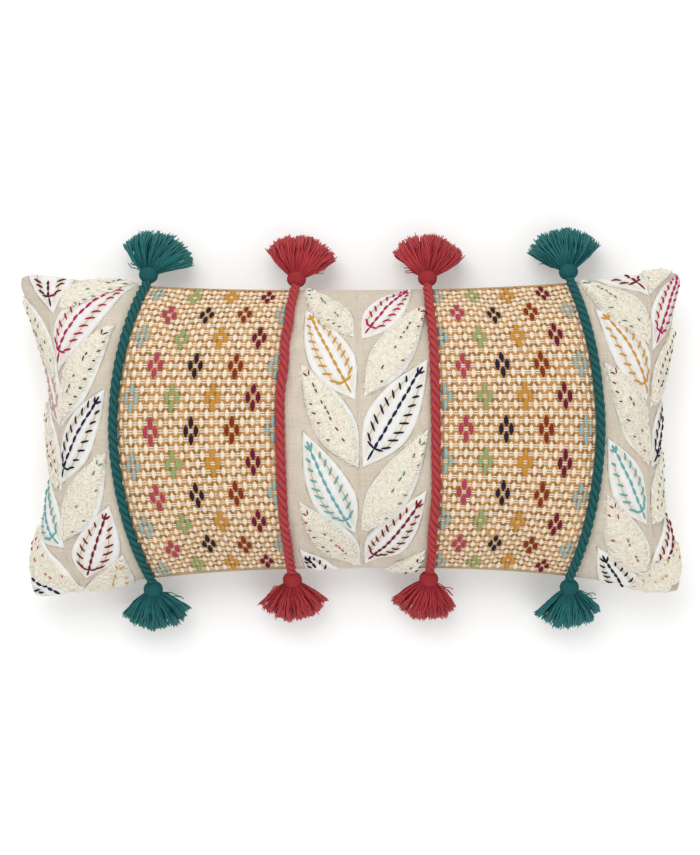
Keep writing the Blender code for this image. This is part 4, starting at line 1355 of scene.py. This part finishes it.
def stray_paths(source, floor):
    """Loose curly strands that have worked out at one side of the fan."""
    paths = []
    side = -1.0 if source.uniform() < 0.5 else 1.0
    for _ in range(STRAY_COUNT):
        share = np.linspace(0.0, 1.0, STRAND_POINTS * 2)
        angle = side * math.radians(source.uniform(60.0, 76.0))
        reach = 0.007 + source.uniform(0.012, 0.022) * share
        curl = 0.0012 * share * np.sin(source.uniform(6.0, 11.0) * share + source.uniform(0.0, 6.0))
        across = reach * math.sin(angle) + curl * math.cos(angle)
        along = HEAD_CENTRE + reach * math.cos(angle) - curl * math.sin(angle)
        up = np.maximum(-0.014 * share**1.5 + 0.0012 * np.sin(8.0 * share), floor + 0.001)
        paths.append(np.stack([across, along, up], axis=-1))
    return np.array(paths)


def yarn_strands(source, lines, radii, bright):
    """Tubes along many strands, with the layers that their yarn needs."""
    run = unit(np.gradient(lines, axis=1))
    level = np.cross(run, np.array([0.0, 0.0, 1.0]))
    level = np.where(np.linalg.norm(level, axis=-1, keepdims=True) < 1e-3, [1.0, 0.0, 0.0], level)
    points, faces = tubes(lines, radii, level, 5)
    share = np.linspace(0.0, 1.0, lines.shape[1])[None, :, None]
    corner = np.linspace(0.0, 1.0, 6)[None, None, :]
    twist = share * 20.0 + corner + source.uniform(0.0, 1.0, (len(lines), 1, 1))
    # painted shade: each strand is darker towards the head, where the strands bunch, scaled by its
    # brightness
    shade = bright[:, None, None] * (0.55 + 0.45 * smooth_step(share, 0.0, 0.5))
    tone, shade = (np.broadcast_to(layer, twist.shape) for layer in (share, shade))
    return points, faces, twist, tone, shade


def make_tassel(seam, end, number):
    """Wound head and fanned skirt, both riding on the tassel's body."""
    place, along, across, up = tassel_frame(seam, end)
    name = f"{END_NAMES[end]}_{seam}"
    colour = "teal" if "outer" in seam else "coral"
    source = default_rng(300 + number)

    def add(kind, points, faces, twist, tone, shade):
        points = place + np.reshape(points, (-1, 3)) @ np.stack([across, along, up])
        layers = {"twist": twist.ravel(), "tone": tone.ravel(), "shade": shade.ravel()}
        piece = make_object(
            f"tassel_{kind}_{name}_yarn", points, faces, TASSEL_YARNS[colour], f"tassel_{name}",
            f"{colour}_yarn", layers,
        )
        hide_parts(f"tassel_{kind}_{name}")

    points, faces, turns = head_mesh(source)
    add("head", points, faces, turns, 0.0 * turns, np.full(turns.shape, 0.62))
    floor = -place[2]
    fan_lean = FAN_LEANS.get((seam, end), 0.0)
    paths, share, layer = strand_paths(source, floor, SKIRT_OUT[end], fan_lean)
    flare = 0.70 + 0.30 * np.minimum(share * 2.2, 1.0)
    radii = STRAND_RADIUS * flare * source.uniform(0.88, 1.12, (STRANDS, 1))
    radii = radii * np.where(share > 0.985, 0.55, 1.0)
    strays = stray_paths(source, floor)
    # brightness of each strand: painted light, lighter on the upper layers of the skirt and darker
    # below, plus random tone per strand
    light = np.clip(0.55 + 0.35 * layer + source.normal(0.0, 0.34, STRANDS), 0.0, 1.0)
    skirt = yarn_strands(source, paths, radii, light)
    loose = yarn_strands(source, strays, STRAY_RADIUS, np.full(STRAY_COUNT, 0.8))
    add("skirt", *merged([skirt, loose]))


# ---- Zip ----


def finish_zip():
    """The CAD tapes, teeth, stops, slider and pull keep their shape and get their finishes."""
    tape = woven_cloth(
        "zip_tape", (224, 214, 196), (206, 195, 176), (234, 225, 208), 0.0006, 0.6, 0.0002
    )
    coil = plain_yarn("zip_coil", (228, 220, 204), 0.0001, 0.0, 300.0)
    metal = Nodes("nickel", (196, 193, 186), 0.3, 1.0)
    wear = metal.noise(metal.place(), 700.0, 3.0)
    metal.rough_from(wear, 0.22, 0.45)
    metal.bump_from(wear, 0.00003)
    for name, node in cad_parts.items():
        if not name.startswith("zip_"):
            continue
        finish = tape if "tape" in name else coil if "teeth" in name else metal.material
        node.data.materials.clear()
        node.data.materials.append(finish)


# ---- Floor, light and camera ----

FLOOR_HALF, FLOOR_GLOW, SKY_STRENGTH = 6.0, 0.10, 0.72
# Square lights: place, size and power
LIGHTS = {"key": ((-0.35, 0.95, 1.60), 1.3, 13.4), "fill": ((0.8, -1.30, 1.35), 1.8, 7.4)}
CAMERA_PLACE, CAMERA_LENS, CAMERA_SENSOR = (0.0, 0.0027, 2.230), 100.0, 36.0


def link(name, data, place):
    thing = bpy.data.objects.new(name, data)
    bpy.context.scene.collection.objects.link(thing)
    thing.location = place
    return thing


def add_light(name, place, size, power):
    """Square light aimed at the middle of the pillow."""
    lamp = bpy.data.lights.new(name, "AREA")
    lamp.shape = "SQUARE"
    lamp.size = size
    lamp.energy = power
    aim = Vector((0.0, 0.0, 0.05)) - Vector(place)
    link(name, lamp, place).rotation_euler = aim.to_track_quat("-Z", "Y").to_euler()


def make_studio():
    square = ((-1, -1), (1, -1), (1, 1), (-1, 1))
    corners = [(x * FLOOR_HALF, y * FLOOR_HALF, 0.0) for x, y in square]
    nodes = Nodes("pale_floor", (250, 250, 250), 0.9)
    grain = nodes.noise(nodes.place(), 3.0)
    nodes.set("Base Color", nodes.blend(grain, (249, 249, 249), (252, 252, 252)))
    nodes.set("Emission Color", (1.0, 1.0, 1.0, 1.0))
    nodes.set("Emission Strength", FLOOR_GLOW)
    floor = make_object("floor", corners, [(0, 1, 2, 3)], nodes.material, body=None, smooth=False)
    world = bpy.data.worlds.new("studio")
    world.use_nodes = True
    background = world.node_tree.nodes["Background"].inputs
    background["Color"].default_value = (1.0, 1.0, 1.0, 1.0)
    background["Strength"].default_value = SKY_STRENGTH
    bpy.context.scene.world = world
    bpy.context.scene.view_settings.view_transform = "Standard"
    for name, (place, size, power) in LIGHTS.items():
        add_light(name, place, size, power)
    lens = bpy.data.cameras.new("camera")
    lens.lens = CAMERA_LENS
    lens.sensor_width = CAMERA_SENSOR
    bpy.context.scene.camera = link("camera", lens, CAMERA_PLACE)


def main():
    for index in range(len(PANELS)):
        make_panel(index)
    make_insert()
    make_back()
    for index in (1, 3):
        make_weave(index)
    make_leaves()
    for seam in PANEL_SEAMS:
        make_rope(seam)
    for number, (seam, end) in enumerate(TASSEL_TURNS):
        make_tassel(seam, end, number)
    finish_zip()
    make_studio()


main()
